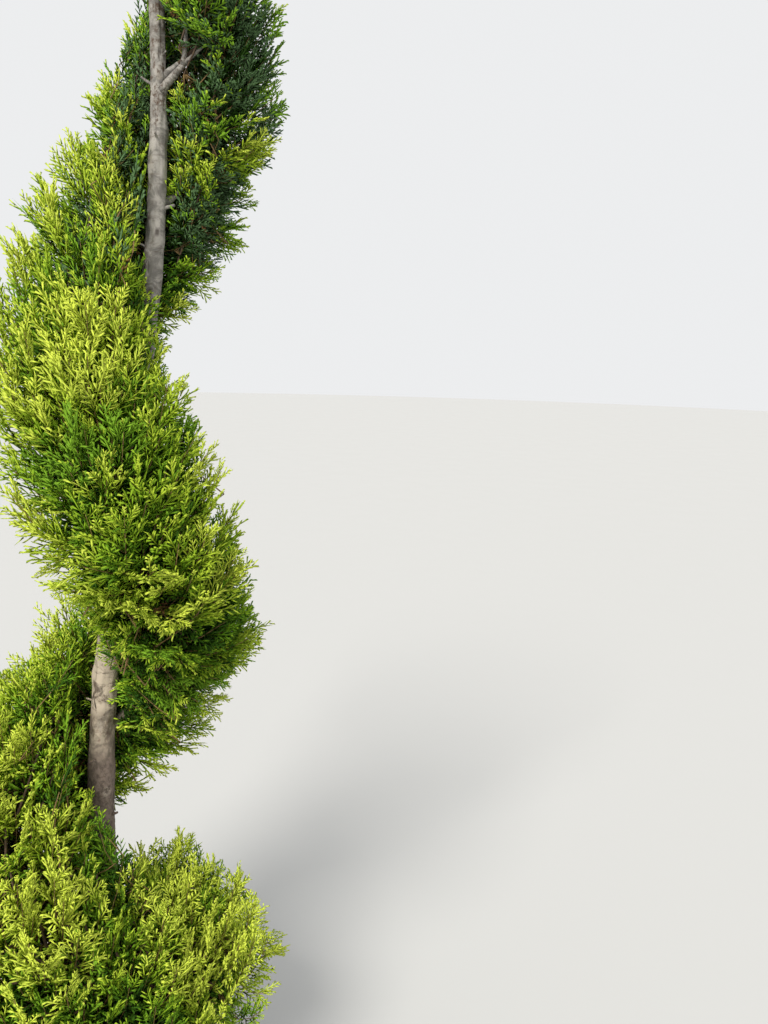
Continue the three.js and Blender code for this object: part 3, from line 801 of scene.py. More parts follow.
class Finish:
    """A node material that is built up step by step."""

    def __init__(self, name):
        self.material = bpy.data.materials.new(name)
        self.material.use_nodes = True
        self.tree = self.material.node_tree
        self.shader = self.tree.nodes["Principled BSDF"]
        self.where = self.node("ShaderNodeTexCoord").outputs["Object"]

    def node(self, kind, **values):
        node = self.tree.nodes.new(kind)
        set_values(node, values)
        return node

    def link(self, output, socket):
        self.tree.links.new(output, socket)

    def height(self):
        parts = self.node("ShaderNodeSeparateXYZ")
        self.link(self.where, parts.inputs[0])
        return parts.outputs["Z"]

    def attribute(self, name):
        return self.node("ShaderNodeAttribute", attribute_name=name).outputs["Fac"]

    def stretched(self, scale):
        mapping = self.node("ShaderNodeMapping")
        set_inputs(mapping, {"Scale": scale})
        self.link(self.where, mapping.inputs["Vector"])
        return mapping.outputs["Vector"]

    def noise(self, scale, detail=4.0, rough=0.55, stretch=(1, 1, 1), distortion=0.0):
        noise = self.node("ShaderNodeTexNoise")
        values = {"Scale": scale, "Detail": detail, "Roughness": rough, "Distortion": distortion}
        set_inputs(noise, values)
        self.link(self.stretched(stretch), noise.inputs["Vector"])
        return noise.outputs["Fac"]

    def cells(self, scale, stretch=(1, 1, 1), feature="DISTANCE_TO_EDGE"):
        cells = self.node("ShaderNodeTexVoronoi", feature=feature)
        set_inputs(cells, {"Scale": scale})
        self.link(self.stretched(stretch), cells.inputs["Vector"])
        return cells.outputs["Distance"]

    def between(self, value, low, high, to_low=0.0, to_high=1.0):
        remap = self.node("ShaderNodeMapRange", interpolation_type="SMOOTHSTEP")
        self.link(value, remap.inputs["Value"])
        set_inputs(remap, {"From Min": low, "From Max": high, "To Min": to_low, "To Max": to_high})
        return remap.outputs["Result"]

    def product(self, first, second):
        times = self.node("ShaderNodeMath", operation="MULTIPLY")
        self.link(first, times.inputs[0])
        self.link(second, times.inputs[1])
        return times.outputs[0]

    def mixed(self, factor, first, second):
        mix = self.node("ShaderNodeMix", data_type="RGBA")
        self.link(factor, mix.inputs["Factor"])
        self.tint(mix.inputs[6], first)
        self.tint(mix.inputs[7], second)
        return mix.outputs[2]

    def tint(self, socket, value):
        """Links a pattern of colours, or sets a colour that is the same all over."""
        if isinstance(value, bpy.types.NodeSocket):
            self.link(value, socket)
        else:
            socket.default_value = (*value, 1.0)

    def colour(self, value):
        self.tint(self.shader.inputs["Base Color"], value)

    def roughness(self, value, low, high):
        self.link(self.between(value, 0.3, 0.7, low, high), self.shader.inputs["Roughness"])

    def bump(self, height, distance, strength=1.0, under=None):
        bump = self.node("ShaderNodeBump")
        set_inputs(bump, {"Distance": distance, "Strength": strength})
        self.link(height, bump.inputs["Height"])
        if under:
            self.link(under, bump.inputs["Normal"])
        return bump.outputs["Normal"]

    def normal(self, output):
        self.link(output, self.shader.inputs["Normal"])


def darker(tint, share):
    return tuple(share * c for c in tint)


def pot_plastic(settings):
    finish = Finish("pot_plastic")
    broad = finish.noise(9.0, detail=8.0, rough=0.7)
    streaks = finish.noise(34.0, detail=6.0, stretch=(1, 1, 0.22))
    haze = finish.between(finish.product(broad, streaks), 0.16, 0.46, 0.0, 0.75)
    foot = finish.between(finish.height(), 0.11, 0.0, 0.10, 0.80)
    splashes = finish.between(finish.noise(150.0, detail=8.0, rough=0.7), 0.50, 0.66)
    dusty = finish.mixed(haze, settings.plastic, settings.dust)
    finish.colour(finish.mixed(finish.product(splashes, foot), dusty, settings.dust))
    finish.roughness(finish.noise(60.0), 0.42, 0.68)
    grain = finish.bump(finish.noise(900.0, detail=2.0), 0.0002, 0.5)
    finish.normal(finish.bump(finish.noise(14.0), 0.003, 0.35, under=grain))
    return finish.material


def moist_mix(settings):
    finish = Finish("moist_mix")
    crust = finish.between(finish.noise(38.0, detail=8.0, rough=0.7), 0.42, 0.62)
    finish.colour(finish.mixed(crust, settings.dark, settings.light))
    finish.roughness(finish.noise(30.0), 0.80, 0.97)
    crumbs = finish.bump(finish.cells(260.0, feature="F1"), 0.0025, 0.8)
    finish.normal(finish.bump(finish.noise(120.0, detail=8.0, rough=0.75), 0.004, 0.8, under=crumbs))
    return finish.material


def chip_bark(name, base):
    finish = Finish(name)
    patch = finish.between(finish.noise(90.0, detail=5.0), 0.35, 0.65)
    finish.colour(finish.mixed(patch, darker(base, 0.45), base))
    finish.roughness(finish.noise(140.0), 0.7, 0.95)
    finish.normal(finish.bump(finish.noise(420.0, stretch=(1, 1, 0.5)), 0.0008, 0.6))
    return finish.material


def bark(settings, name="trunk_bark", fine=1.0):
    """Pale weathered bark with brown flecks, and peeling brown and rusty patches low down, with painted
    shade on the lowest bark and streaks of painted sunlight above it.
    """
    finish = Finish(name)
    pale, warm, brown, mauve = settings.pale, settings.warm, settings.brown, settings.mauve
    height = finish.height()
    bands = finish.noise(26.0 * fine, detail=8.0, rough=0.7, stretch=(1.0, 1.0, 1.2), distortion=0.9)
    flecks = finish.noise(120.0 * fine, detail=6.0, rough=0.75, stretch=(1, 1, 0.7))
    weathered = finish.mixed(finish.between(bands, 0.38, 0.60), darker(pale, 0.40), pale)
    flecked = finish.mixed(finish.between(flecks, 0.47, 0.63), weathered, brown)
    blotches = finish.noise(10.0 * fine, detail=6.0, rough=0.6, stretch=(1, 1, 0.5), distortion=0.8)
    stained = finish.mixed(finish.between(blotches, 0.40, 0.54), weathered, flecked)
    sunned = finish.mixed(finish.between(bands, 0.38, 0.53), darker(warm, 0.42), warm)
    rust = finish.noise(19.0 * fine, detail=7.0, rough=0.65, stretch=(1, 1, 0.6), distortion=0.6)
    rusty = finish.mixed(finish.between(rust, 0.50, 0.60), sunned, settings.rust)
    peeled = finish.noise(15.0 * fine, detail=8.0, rough=0.68, stretch=(1, 1, 0.45), distortion=0.3)
    bare = finish.mixed(finish.between(flecks, 0.40, 0.60), brown, darker(warm, 0.34))
    peeling = finish.mixed(finish.between(peeled, 0.44, 0.56), bare, rusty)
    # Painted shade on the lowest bark: the mauve, darker still in flecks, mixed with bare brown patches
    shaded = finish.mixed(finish.between(flecks, 0.42, 0.60), mauve, darker(mauve, 0.5))
    low_bark = finish.mixed(finish.between(peeled, 0.36, 0.50), bare, shaded)
    lower = finish.mixed(finish.between(height, *PEELING_FROM), low_bark, peeling)
    # Streaks of painted sunlight from these heights up, fading into the grey bark higher on the trunk
    sun_patch_bands = finish.between(bands, 0.40, 0.52)
    painted_sunlight = finish.product(sun_patch_bands, finish.between(height, *SUN_PATCH_FROM))
    lower = finish.mixed(painted_sunlight, lower, warm)
    by_height = finish.mixed(finish.between(height, *GREY_FROM), lower, stained)
    lines = finish.noise(38.0 * fine, detail=5.0, stretch=(0.8, 0.8, 5.0), distortion=0.4)
    lined = finish.mixed(finish.between(lines, 0.40, 0.30, 0.0, 0.45), by_height, brown)
    fissures = finish.noise(62.0 * fine, detail=4.0, stretch=(1, 1, 0.16), distortion=0.7)
    dark = darker(brown, 0.35)
    cracked = finish.mixed(finish.between(fissures, 0.38, 0.29), lined, dark)
    mottled = finish.product(finish.attribute("scar"), finish.between(flecks, 0.62, 0.42))
    healed = finish.mixed(mottled, cracked, settings.scar)
    # Painted shade in the small knot hollows
    finish.colour(finish.mixed(finish.attribute("hollow"), healed, dark))
    finish.roughness(flecks, 0.72, 0.95)
    furrows = finish.bump(fissures, 0.0014, 0.45)
    wrinkles = finish.bump(lines, 0.0012, 0.55, under=furrows)
    plates = finish.bump(peeled, 0.0030, 0.40, under=wrinkles)
    finish.normal(finish.bump(finish.noise(260.0, detail=8.0, rough=0.7), 0.0012, 0.7, under=plates))
    return finish.material


def twig_bark(name, base):
    finish = Finish(name)
    patch = finish.between(finish.noise(120.0), 0.35, 0.65)
    finish.colour(finish.mixed(patch, darker(base, 0.6), base))
    finish.roughness(finish.noise(300.0), 0.6, 0.85)
    finish.normal(finish.bump(finish.noise(700.0), 0.0003, 0.6))
    return finish.material


def scale_leaf(name, base):
    """Overlapping scale leaves: one plain colour, with fine relief along the cords."""
    finish = Finish(name)
    finish.colour(base)
    finish.roughness(finish.noise(240.0), 0.60, 0.80)
    scales = finish.bump(finish.cells(900.0, feature="F1"), 0.0005, 0.55)
    finish.normal(scales)
    set_inputs(finish.shader, {"Specular IOR Level": 0.15})
    return finish.material


# Pot

def wall_radius(z, pot_height):
    """The outside of the wall below the rim."""
    slope = (WALL_TOP_RADIUS - WALL_FOOT_RADIUS) / (pot_height - RIM_HEIGHT)
    return WALL_FOOT_RADIUS + slope * z


def pot_profile(settings):
    """Radius and height, up the outside, over the rolled rim and down the inside."""
    lip = settings.height - RIM_HEIGHT
    rim = settings.rim_radius
    top = settings.height
    outside = [(FOOT_RADIUS, 0.0), (WALL_FOOT_RADIUS - 0.002, 0.003), (WALL_FOOT_RADIUS, 0.009)]
    for z in np.linspace(0.02, lip - 0.050, 9):
        outside.append((wall_radius(z, top), z))
    for step, bead in ((0.044, 0.0), (0.042, 0.0016), (0.037, 0.0016), (0.035, 0.0)):
        outside.append((wall_radius(lip - step, top) + bead, lip - step))
    outside.append((WALL_TOP_RADIUS, lip))
    rolled = [
        (rim - 0.0095, lip + 0.0012), (rim - 0.0050, lip + 0.0040), (rim - 0.0018, lip + 0.0090),
        (rim, lip + 0.0180), (rim - 0.0004, lip + 0.0240), (rim - 0.0024, top - 0.0040),
        (rim - 0.0060, top - 0.0012), (rim - 0.0100, top), (rim - 0.0135, top - 0.0014),
        (rim - 0.0160, top - 0.0050), (rim - 0.0185, top - 0.0150),
    ]
    inside = [(WALL_TOP_RADIUS - WALL_THICKNESS, lip - 0.002)]
    for z in np.linspace(lip - 0.05, 0.03, 6):
        inside.append((wall_radius(z, top) - WALL_THICKNESS, z))
    inside.append((WALL_FOOT_RADIUS - WALL_THICKNESS, FLOOR_HEIGHT))
    return outside + rolled + inside


def cut_slots(pot):
    """The drainage slots where the wall meets the foot."""
    cutters = []
    for i in range(SLOT_COUNT):
        turn = i * 2 * math.pi / SLOT_COUNT
        r = FOOT_RADIUS + SLOT_OFFSET
        deselect_all()
        bpy.ops.mesh.primitive_cube_add(size=1.0, location=(r * math.cos(turn), r * math.sin(turn), 0.0))
        cutter = bpy.context.active_object
        cutter.scale = SLOT_SIZE
        cutter.rotation_euler = (0.0, 0.0, turn)
        bpy.ops.object.transform_apply(location=True, rotation=True, scale=True)
        apply_modifier(cutter, "BEVEL", width=SLOT_ROUNDING, segments=3)
        cutters.append(cutter)
    select_only(*cutters)
    bpy.ops.object.join()
    apply_modifier(pot, "BOOLEAN", object=cutters[0], operation="DIFFERENCE", solver="EXACT")
    bpy.data.objects.remove(cutters[0])


class TOPIARY_OT_pot(bpy.types.Operator):
    """Moulds the nursery pot: wall, bead, rolled rim and drainage slots"""

    bl_idname = "topiary.pot"
    bl_label = "Pot"

    def execute(self, context):
        settings = context.scene.topiary_pot
        profile = pot_profile(settings)
        pot = start_disc("nursery_pot", profile[0][0], profile[0][1], settings.sides)
        raise_profile(pot, profile)
        leave_edit()
        tidy_normals(pot)
        cut_slots(pot)
        select_only(pot)
        bpy.ops.object.shade_smooth_by_angle(angle=math.radians(38))
        finish_piece(pot, ["pot"], pot_plastic(settings))
        return {"FINISHED"}


# Potting mix

def soil_height(x, y, lump):
    """The surface of the mix: a slow fall to the wall, with lumps."""
    r = np.hypot(x, y)
    wall = WALL_TOP_RADIUS - WALL_THICKNESS
    fall = SOIL_EDGE_DROP * smoothstep(r, 0.25 * wall, wall)
    u, v = x / (2 * wall) + 0.5, y / (2 * wall) + 0.5
    waves = sum(share * lattice(u, v, cells, cells, seed) for share, cells, seed in SOIL_WAVES)
    return SOIL_LEVEL - fall - 2.0 * lump * waves


def soil_inner_radius(z):
    return wall_radius(z, POT_HEIGHT) - WALL_THICKNESS - SOIL_GAP


def shards(centres, turns, sizes, rng):
    """Small irregular chips, eight corners each."""
    corner = np.array([(x, y, z) for z in (-1, 1) for y in (-1, 1) for x in (-1, 1)], float)
    faces = np.array([
        (0, 2, 3), (0, 3, 1), (4, 5, 7), (4, 7, 6), (0, 1, 5), (0, 5, 4),
        (2, 6, 7), (2, 7, 3), (0, 4, 6), (0, 6, 2), (1, 3, 7), (1, 7, 5),
    ])
    shape = corner[None] * (1.0 + rng.uniform(-0.45, 0.25, (len(centres), 8, 3)))
    points = np.einsum("nij,nkj->nki", turns, shape * sizes[:, None] / 2) + centres[:, None]
    return points.reshape(-1, 3), repeated(faces, len(centres), len(corner))


def flat_turns(total, rng, tilt):
    """Turns about Z with a small random tilt."""
    spin = rng.uniform(0, 2 * math.pi, total)
    lean = rng.normal(0, tilt, (total, 2))
    x = np.stack([np.cos(spin), np.sin(spin), lean[:, 0]], axis=-1)
    x = unit(x)
    z = across(x, np.stack([lean[:, 0], lean[:, 1], np.ones(total)], axis=-1))
    return np.stack([x, np.cross(z, x), z], axis=-1)


def scattered(total, rng, lump, lift):
    """Places on the mix, clear of the wall and of the trunk's foot."""
    angle = rng.uniform(0, 2 * math.pi, total)
    outer = soil_inner_radius(SOIL_LEVEL - SOIL_EDGE_DROP) - 0.008
    inner = TRUNK_FOOT_RADIUS + 2 * FLARE_RADIUS
    r = np.sqrt(rng.uniform(inner ** 2, outer ** 2, total))
    x, y = r * np.cos(angle), r * np.sin(angle)
    return np.stack([x, y, soil_height(x, y, lump) + lift], axis=-1)


class TOPIARY_OT_potting_mix(bpy.types.Operator):
    """Fills the pot with lumpy potting mix, bark chips and grit"""

    bl_idname = "topiary.potting_mix"
    bl_label = "Potting mix"

    def execute(self, context):
        settings = context.scene.topiary_soil
        bottom = SOIL_LOW.z
        edge = SOIL_LEVEL - SOIL_EDGE_DROP - settings.lump
        profile = [(soil_inner_radius(bottom), bottom), (soil_inner_radius(edge), edge)]
        for i in range(1, SOIL_RINGS):
            profile.append((soil_inner_radius(edge) * (1 - i / SOIL_RINGS), edge))
        mix = start_disc("mix_surface", *profile[0], 96)
        raise_profile(mix, profile)
        bpy.ops.mesh.poke()
        leave_edit()
        tidy_normals(mix)
        co = places(mix)
        top = co[:, 2] > edge - 1e-4
        co[top, 2] = soil_height(co[top, 0], co[top, 1], settings.lump)
        set_places(mix, co)
        mix.data.shade_smooth()
        finish_piece(mix, ["potting_mix"], moist_mix(settings))
        self.lay_chips(settings)
        return {"FINISHED"}

    def lay_chips(self, settings):
        rng = np.random.default_rng(51)
        total = settings.chips
        sizes = rng.uniform((0.004, 0.003, 0.0010), (0.016, 0.008, 0.0030), (total, 3))
        material = chip_bark("bark_chip", settings.chip)
        chips = self.scatter("bark_chips", sizes, 0.0006, 0.22, settings.lump, material, rng)
        chips.data.shade_flat()
        total = settings.chips // 4
        sizes = rng.uniform(0.0016, 0.0040, (total, 1)) * rng.uniform(0.7, 1.3, (total, 3))
        material = chip_bark("pale_grit", settings.grit)
        self.scatter("grit", sizes, 0.0003, 0.6, settings.lump, material, rng)

    def scatter(self, name, sizes, lift, tilt, lump, material, rng):
        """One piece of many shards, a little above the mix and tilted at random."""
        total = len(sizes)
        centres = scattered(total, rng, lump, lift)
        turns = flat_turns(total, rng, tilt)
        piece = mesh_piece(name, *shards(centres, turns, sizes, rng), material)
        finish_piece(piece, ["potting_mix"])
        return piece


# Trunk

def trunk_relief(angle, z, depth):
    """How far the bark stands out: furrows, wrinkles, swellings and the scars of pruned boughs."""
    u = angle / (2 * math.pi) + 0.04 * np.sin(z * 9.0)
    v = (z - TRUNK_LOW.z) / (TRUNK_TOP - TRUNK_LOW.z)
    broad = lattice(u, v, 4, 26, 61) - 0.5
    furrow = smoothstep(lattice(u, v, 15, 34, 62), 0.70, 0.95)
    plates = lattice(u, v, 22, 130, 63) - 0.5
    wrinkle = lattice(u, v, 5, 330, 64) - 0.5
    relief = BARK_SWELL * broad - BARK_FURROW * furrow + plates + BARK_WRINKLE * wrinkle
    relief = relief * depth
    scars = np.zeros_like(angle)
    hollow_shade = np.zeros_like(angle)
    for knot_angle, knot_z, size, height in KNOTS:
        turn = np.arctan2(np.sin(angle - knot_angle), np.cos(angle - knot_angle))
        distance = np.hypot(turn * trunk_radius(knot_z), (z - knot_z) / 1.5) / size
        swell = np.exp(-(distance ** 2))
        scar = 1.0 - smoothstep(distance, 0.30, 0.60)
        relief = relief + height * (swell - 0.55 * scar)
        # A large knot becomes a pale healed scar, and a small one a hollow that gets painted shade
        if size > SMALL_KNOT:
            scars = np.maximum(scars, scar * min(size / FULL_SCAR, 1.0))
        else:
            hollow_shade = np.maximum(hollow_shade, 0.8 * scar)
    return relief, scars, hollow_shade


class TOPIARY_OT_trunk(bpy.types.Operator):
    """Draws the trunk up ring by ring, with its taper, lean, flare and bark relief"""

    bl_idname = "topiary.trunk"
    bl_label = "Trunk"

    def execute(self, context):
        settings = context.scene.topiary_bark
        foot = TRUNK_LOW.z
        steps = round((TRUNK_TOP - foot) / settings.ring_step)
        heights = np.linspace(foot, TRUNK_TOP, steps + 1)
        trunk = start_disc("trunk_bark", float(trunk_radius(foot)), foot, 16)
        edit(trunk)
        bpy.ops.transform.translate(value=(float(trunk_x(foot)), 0, 0))
        for low, high in zip(heights, heights[1:]):
            shift = float(trunk_x(high) - trunk_x(low))
            raise_ring((float(trunk_radius(low)), low), (float(trunk_radius(high)), high), shift)
        leave_edit()
        apply_modifier(trunk, "SUBSURF", subdivision_type="SIMPLE", levels=2, render_levels=2)
        tidy_normals(trunk)
        co = places(trunk)
        dx, dy, z = co[:, 0] - trunk_x(co[:, 2]), co[:, 1], co[:, 2]
        r, angle = np.hypot(dx, dy), np.arctan2(dy, dx)
        skin_points = r > 0.9 * trunk_radius(z)
        lobe = 1.0 + FLARE_LOBE_DEPTH * flare(z) * np.cos(FLARE_LOBES * angle)
        slim = np.minimum(trunk_radius(z) / SLIM_TRUNK, 1.0)
        relief, scars, hollow_shade = trunk_relief(angle, z, settings.relief)
        new_r = trunk_radius(z) * lobe + relief * slim
        co[skin_points, 0] = (trunk_x(z) + new_r * np.cos(angle))[skin_points]
        co[skin_points, 1] = (new_r * np.sin(angle))[skin_points]
        set_places(trunk, co)
        for name, values in (("scar", scars), ("hollow", hollow_shade)):
            attribute = trunk.data.attributes.new(name, "FLOAT", "POINT")
            attribute.data.foreach_set("value", values.astype(np.float32))
        trunk.data.shade_smooth()
        finish_piece(trunk, ["trunk"], bark(settings))
        return {"FINISHED"}


# Boughs

def plan_boughs():
    """Every bough's place on the ribbon, direction, foot, tip and foot radius."""
    boughs = []
    for i in range(MASSES):
        start = RIBBON_START if i == 0 else i
        end = RIBBON_END if i == MASSES - 1 else i + 1
        wide = section(np.float64((start + end) / 2))[1] > BOUGH_WIDE_CROWN
        for share, drop in [(0.28, 0.3), (0.74, 0.45)] if wide else [(0.5, 0.3)]:
            quarter = np.float64(start + (end - start) * share)
            z, _, _, below = section(quarter)
            boughs.append(plan_bough(quarter, z - below * drop))
    return boughs


def plan_bough(quarter, start_height):
    direction = unit(outwards(quarter) + UP * BOUGH_RISE)
    foot = trunk_middle(start_height)
    inset = core_inset(quarter)
    reach = 0.0
    while reach < BOUGH_LONGEST and not inside_core(quarter, foot + direction * reach, inset):
        reach += 0.001
    tip = foot + direction * (reach - BOUGH_STEM_SHOWS)
    return quarter, direction, foot, tip, float(along(BOUGH_RADIUS, start_height))


def model_limb(rings, sides):
    """One limb of unit length and unit foot radius: a collar, a taper and swellings."""
    piece = start_disc("limb", 1.0, 0.0, sides)
    shares = [i / rings for i in range(rings + 1)]
    raise_profile(piece, [(1.0 + (BOUGH_TAPER - 1.0) * share, share) for share in shares])
    leave_edit()
    tidy_normals(piece)
    co = places(piece)
    angle = np.arctan2(co[:, 1], co[:, 0])
    u, v = angle / (2 * math.pi), co[:, 2]
    bulge = 1.0 + 0.10 * (lattice(u, v, 7, 9, 71) - 0.5) + 0.16 * (lattice(u, v, 5, 21, 72) - 0.5)
    collar = 1.0 + 0.45 * np.exp(-((v / 0.10) ** 2))
    co[:, 0] *= bulge * collar
    co[:, 1] *= bulge * collar
    set_places(piece, co)
    return piece


def copy_limb(pattern, name, foot, tip, radius):
    """A copy with its own mesh, laid from foot to tip."""
    piece = pattern.copy()
    piece.data = pattern.data.copy()
    piece.name = name
    bpy.context.scene.collection.objects.link(piece)
    span = np.array(tip) - np.array(foot)
    reach = float(np.linalg.norm(span))
    turn = Vector(span).to_track_quat("Z", "Y").to_matrix().to_4x4()
    stretch = Matrix.Diagonal((radius, radius, reach, 1.0))
    piece.data.transform(Matrix.Translation(Vector(foot)) @ turn @ stretch)
    return piece


def join_all(pieces, name):
    select_only(*pieces)
    bpy.ops.object.join()
    pieces[0].name = name
    pieces[0].data.name = name
    return pieces[0]


class TOPIARY_OT_boughs(bpy.types.Operator):
    """Sets a bough at each place of the plan, and the snags of pruned boughs on the bare trunk"""

    bl_idname = "topiary.boughs"
    bl_label = "Boughs"

    def execute(self, context):
        settings = context.scene.topiary_bark
        pattern = model_limb(26, 14)
        stub = model_limb(5, 9)
        pieces = []
        for i, (_, direction, foot, tip, radius) in enumerate(plan_boughs()):
            start = foot + direction * trunk_radius(foot[2]) * 0.6
            pieces.append(copy_limb(pattern, f"limb_{i}", start, tip, radius))
        boughs = join_all(pieces, "bough_bark")
        boughs.data.shade_smooth()
        finish_piece(boughs, BOUGH_NODES, bark(settings, "bough_bark", fine=2.0))
        snags = join_all(self.snags(stub), "pruned_snags")
        snags.data.shade_smooth()
        finish_piece(snags, ["trunk"], bark(settings, "snag_bark", fine=3.0))
        bpy.data.objects.remove(pattern)
        bpy.data.objects.remove(stub)
        return {"FINISHED"}

    def snags(self, pattern):
        rng = np.random.default_rng(81)
        pieces = []
        low, high = SNAG_HEIGHTS
        for i in range(SNAGS):
            z = low + (high - low) * (i + rng.uniform(0, 0.8)) / SNAGS
            angle = i * GOLDEN_ANGLE
            out = np.array([math.cos(angle), math.sin(angle), rng.uniform(0.2, 0.9)])
            reach = rng.uniform(0.006, 0.020) + float(trunk_radius(z)) * 0.5
            foot = trunk_middle(z) + unit(out) * float(trunk_radius(z)) * 0.7
            tip = foot + unit(out) * reach
            pieces.append(copy_limb(pattern, f"snag_{i}", foot, tip, rng.uniform(0.0016, 0.0036)))
        middle = trunk_middle(FORK_HEIGHT)
        for i, (foot, tip, radius) in enumerate(FORK_LIMBS):
            pieces.append(copy_limb(pattern, f"fork_{i}", middle + foot, middle + tip, radius))
        return pieces


# Branches and twigs inside the ribbon

def nodes_of_ribbon():
    """Forks between the ribbon's heart and its skin: the quarter and the place of each."""
    quarters = np.arange(RIBBON_START + 0.10, RIBBON_END, FORK_STEP)
    angles = np.radians(np.linspace(*FORK_ANGLES))
    q, a = np.meshgrid(quarters, angles, indexing="ij")
    q, a = q.ravel(), a.ravel()
    rng = np.random.default_rng(91)
    q = q + rng.uniform(-0.05, 0.05, len(q))
    a = a + rng.uniform(-0.12, 0.12, len(a))
    inset = (FORK_DEPTH + rng.uniform(-0.02, 0.02, len(q))) * spray_scale(q)
    return q, skin(q, a, inset)


class TOPIARY_OT_branches(bpy.types.Operator):
    """Grows the stems, leaders and branches that carry on from the boughs inside the ribbon"""

    bl_idname = "topiary.branches"
    bl_label = "Branches"

    def execute(self, context):
        settings = context.scene.topiary_bark
        parts = [self.stems(), self.leaders(), self.forks()]
        piece = mesh_piece("inner_branches", *joined(parts), twig_bark("branch_bark", settings.branch))
        finish_piece(piece, FOLIAGE_NODES)
        return {"FINISHED"}

    def stems(self):
        boughs = plan_boughs()
        tip = np.array([b[3] for b in boughs])
        direction = np.array([b[1] for b in boughs])
        radius = np.array([b[4] for b in boughs]) * BOUGH_TAPER
        end = heart(np.array([b[0] for b in boughs]))
        bend = tip + direction * np.linalg.norm(end - tip, axis=1)[:, None] * 0.5
        start = tip - direction * radius[:, None] * 0.4
        return tubes(start, bend, end, radius, radius * BOUGH_TAPER, 7, 6)

    def leaders(self):
        quarters = np.arange(RIBBON_START + 0.05, RIBBON_END - LEADER_STEP, LEADER_STEP)
        start, end = heart(quarters), heart(quarters + LEADER_STEP)
        middle = heart(quarters + LEADER_STEP / 2)
        bend = 2 * middle - (start + end) / 2
        radius = along(BOUGH_RADIUS, start[:, 2]) * LEADER_SHARE
        next_radius = along(BOUGH_RADIUS, end[:, 2]) * LEADER_SHARE
        return tubes(start, bend, end, radius, next_radius, 6, 3)

    def forks(self):
        q, fork = nodes_of_ribbon()
        base = heart(q - 0.10)
        bend = base * 0.45 + fork * 0.55 - UP * 0.012
        radius = along(BOUGH_RADIUS, base[:, 2]) * FORK_SHARE
        return tubes(base, bend, fork, radius, radius * 0.6, 5, 4)


# Sprays: where each one stands

def skin_weights(quarters, angles):
    """How much skin each small patch of the ribbon holds, in square metres."""
    q, a = np.meshgrid(quarters, angles, indexing="ij")
    step = 0.01
    area = np.linalg.norm(np.cross(*skin_edges(q, a, step)), axis=-1) / (4 * step * step)
    return area * (quarters[1] - quarters[0]) * (angles[1] - angles[0])


def skin_places(per_square_metre, crowding, open_top):
    """Even places over the ribbon's skin, closer together where the crown is slim."""
    quarters = RIBBON_QUARTERS
    angles = np.radians(np.linspace(-88, 88, 60))
    weights = skin_weights(quarters, angles)
    thinned = 1.0 - open_top * smoothstep(section(quarters)[0], 1.75, 2.05)
    weights = weights * (thinned * per_square_metre / spray_scale(quarters) ** crowding)[:, None]
    total = int(weights.sum())
    u, v = spread(total)
    rows = weights.sum(axis=1)
    row_sum = np.cumsum(rows) / rows.sum()
    quarter = np.interp(u, row_sum, quarters)
    row = np.clip(np.searchsorted(row_sum, u), 0, len(quarters) - 1)
    angle = np.empty(total)
    for r in np.unique(row):
        here = row == r
        column_sum = np.cumsum(weights[r]) / weights[r].sum()
        angle[here] = np.interp(v[here], column_sum, angles)
    return quarter, angle


def inner_places(per_square_metre):
    """Places on the ribbon's inner side, which faces the trunk."""
    quarters = RIBBON_QUARTERS
    z, radius, above, below = section(quarters)
    step_length = np.hypot(np.gradient(z, quarters), inner_radius(z, radius) * math.pi / 2)
    area = step_length * (above + below) * (quarters[1] - quarters[0])
    closer = 1.0 + CLOSER * np.exp(-((quarters - CLOSER_QUARTER) / CLOSER_REACH) ** 2)
    weights = area * closer * per_square_metre / spray_scale(quarters) ** 1.2
    total = int(weights.sum())
    u, v = spread(total)
    quarter = np.interp(u, np.cumsum(weights) / weights.sum(), quarters)
    z, radius, above, below = section(quarter)
    z = z + np.where(v > 0.5, (v - 0.5) * 1.96 * above, (v - 0.5) * 1.7 * below)
    return quarter, beside_trunk(quarter, inner_radius(z, radius), z)


def spray_direction(normal, out, rng):
    lift = AIM_LIFT * np.clip(normal[:, 2:3] - AIM_LIFT_FROM, 0.0, 1.0)
    hang = np.where(normal[:, 2:3] < AIM_HANG_BELOW, AIM_HANG, AIM_SPREAD)
    jitter = rng.uniform(-AIM_JITTER, AIM_JITTER, normal.shape)
    return unit(normal * AIM_SKIN + UP * lift + out * hang + jitter)


def plume_sink(quarter, z, rng):
    """How far each spray stands back, from 0 to 1: plumes of a few sprays stand out of the skin."""
    plume = lattice(quarter / 4, z / TRUNK_TOP, 30, 38, 113)
    return np.clip(0.5 + 1.7 * (0.5 - plume) + rng.normal(0, 0.20, len(quarter)), 0.0, 1.0)


def aim_sprays(quarter, angle, inset, full_length, rng):
    """Root and tip of a spray at each place, shortened until its root is well in the ribbon."""
    scale = spray_scale(quarter)
    normal = skin_normal(quarter, angle)
    out = outwards(quarter)
    total = len(quarter)
    root, tip = np.zeros((total, 3)), np.zeros((total, 3))
    waiting = np.ones(total, bool)
    for attempt in range(AIM_TRIES):
        direction = unit(spray_direction(normal, out, rng) - out * (RIDGE_LEAN * attempt))
        new_tip = skin(quarter, angle, inset * scale)
        long = full_length * scale ** 0.6 * rng.uniform(*SPRAY_LENGTHS, total)
        long = long * (1 - SPRAY_SHORTER * attempt)
        new_root = new_tip - direction * long[:, None]
        place = quarter + turns_from(quarter, new_root)
        good = inside_core(place, new_root, 0.25 * core_inset(place))
        good &= clear_along(new_root, new_tip, CLEAR_SHARES)
        take = waiting & good
        root[take], tip[take] = new_root[take], new_tip[take]
        waiting &= ~good
    return ~waiting, root, tip, normal


# Sprays: branchlets and cords

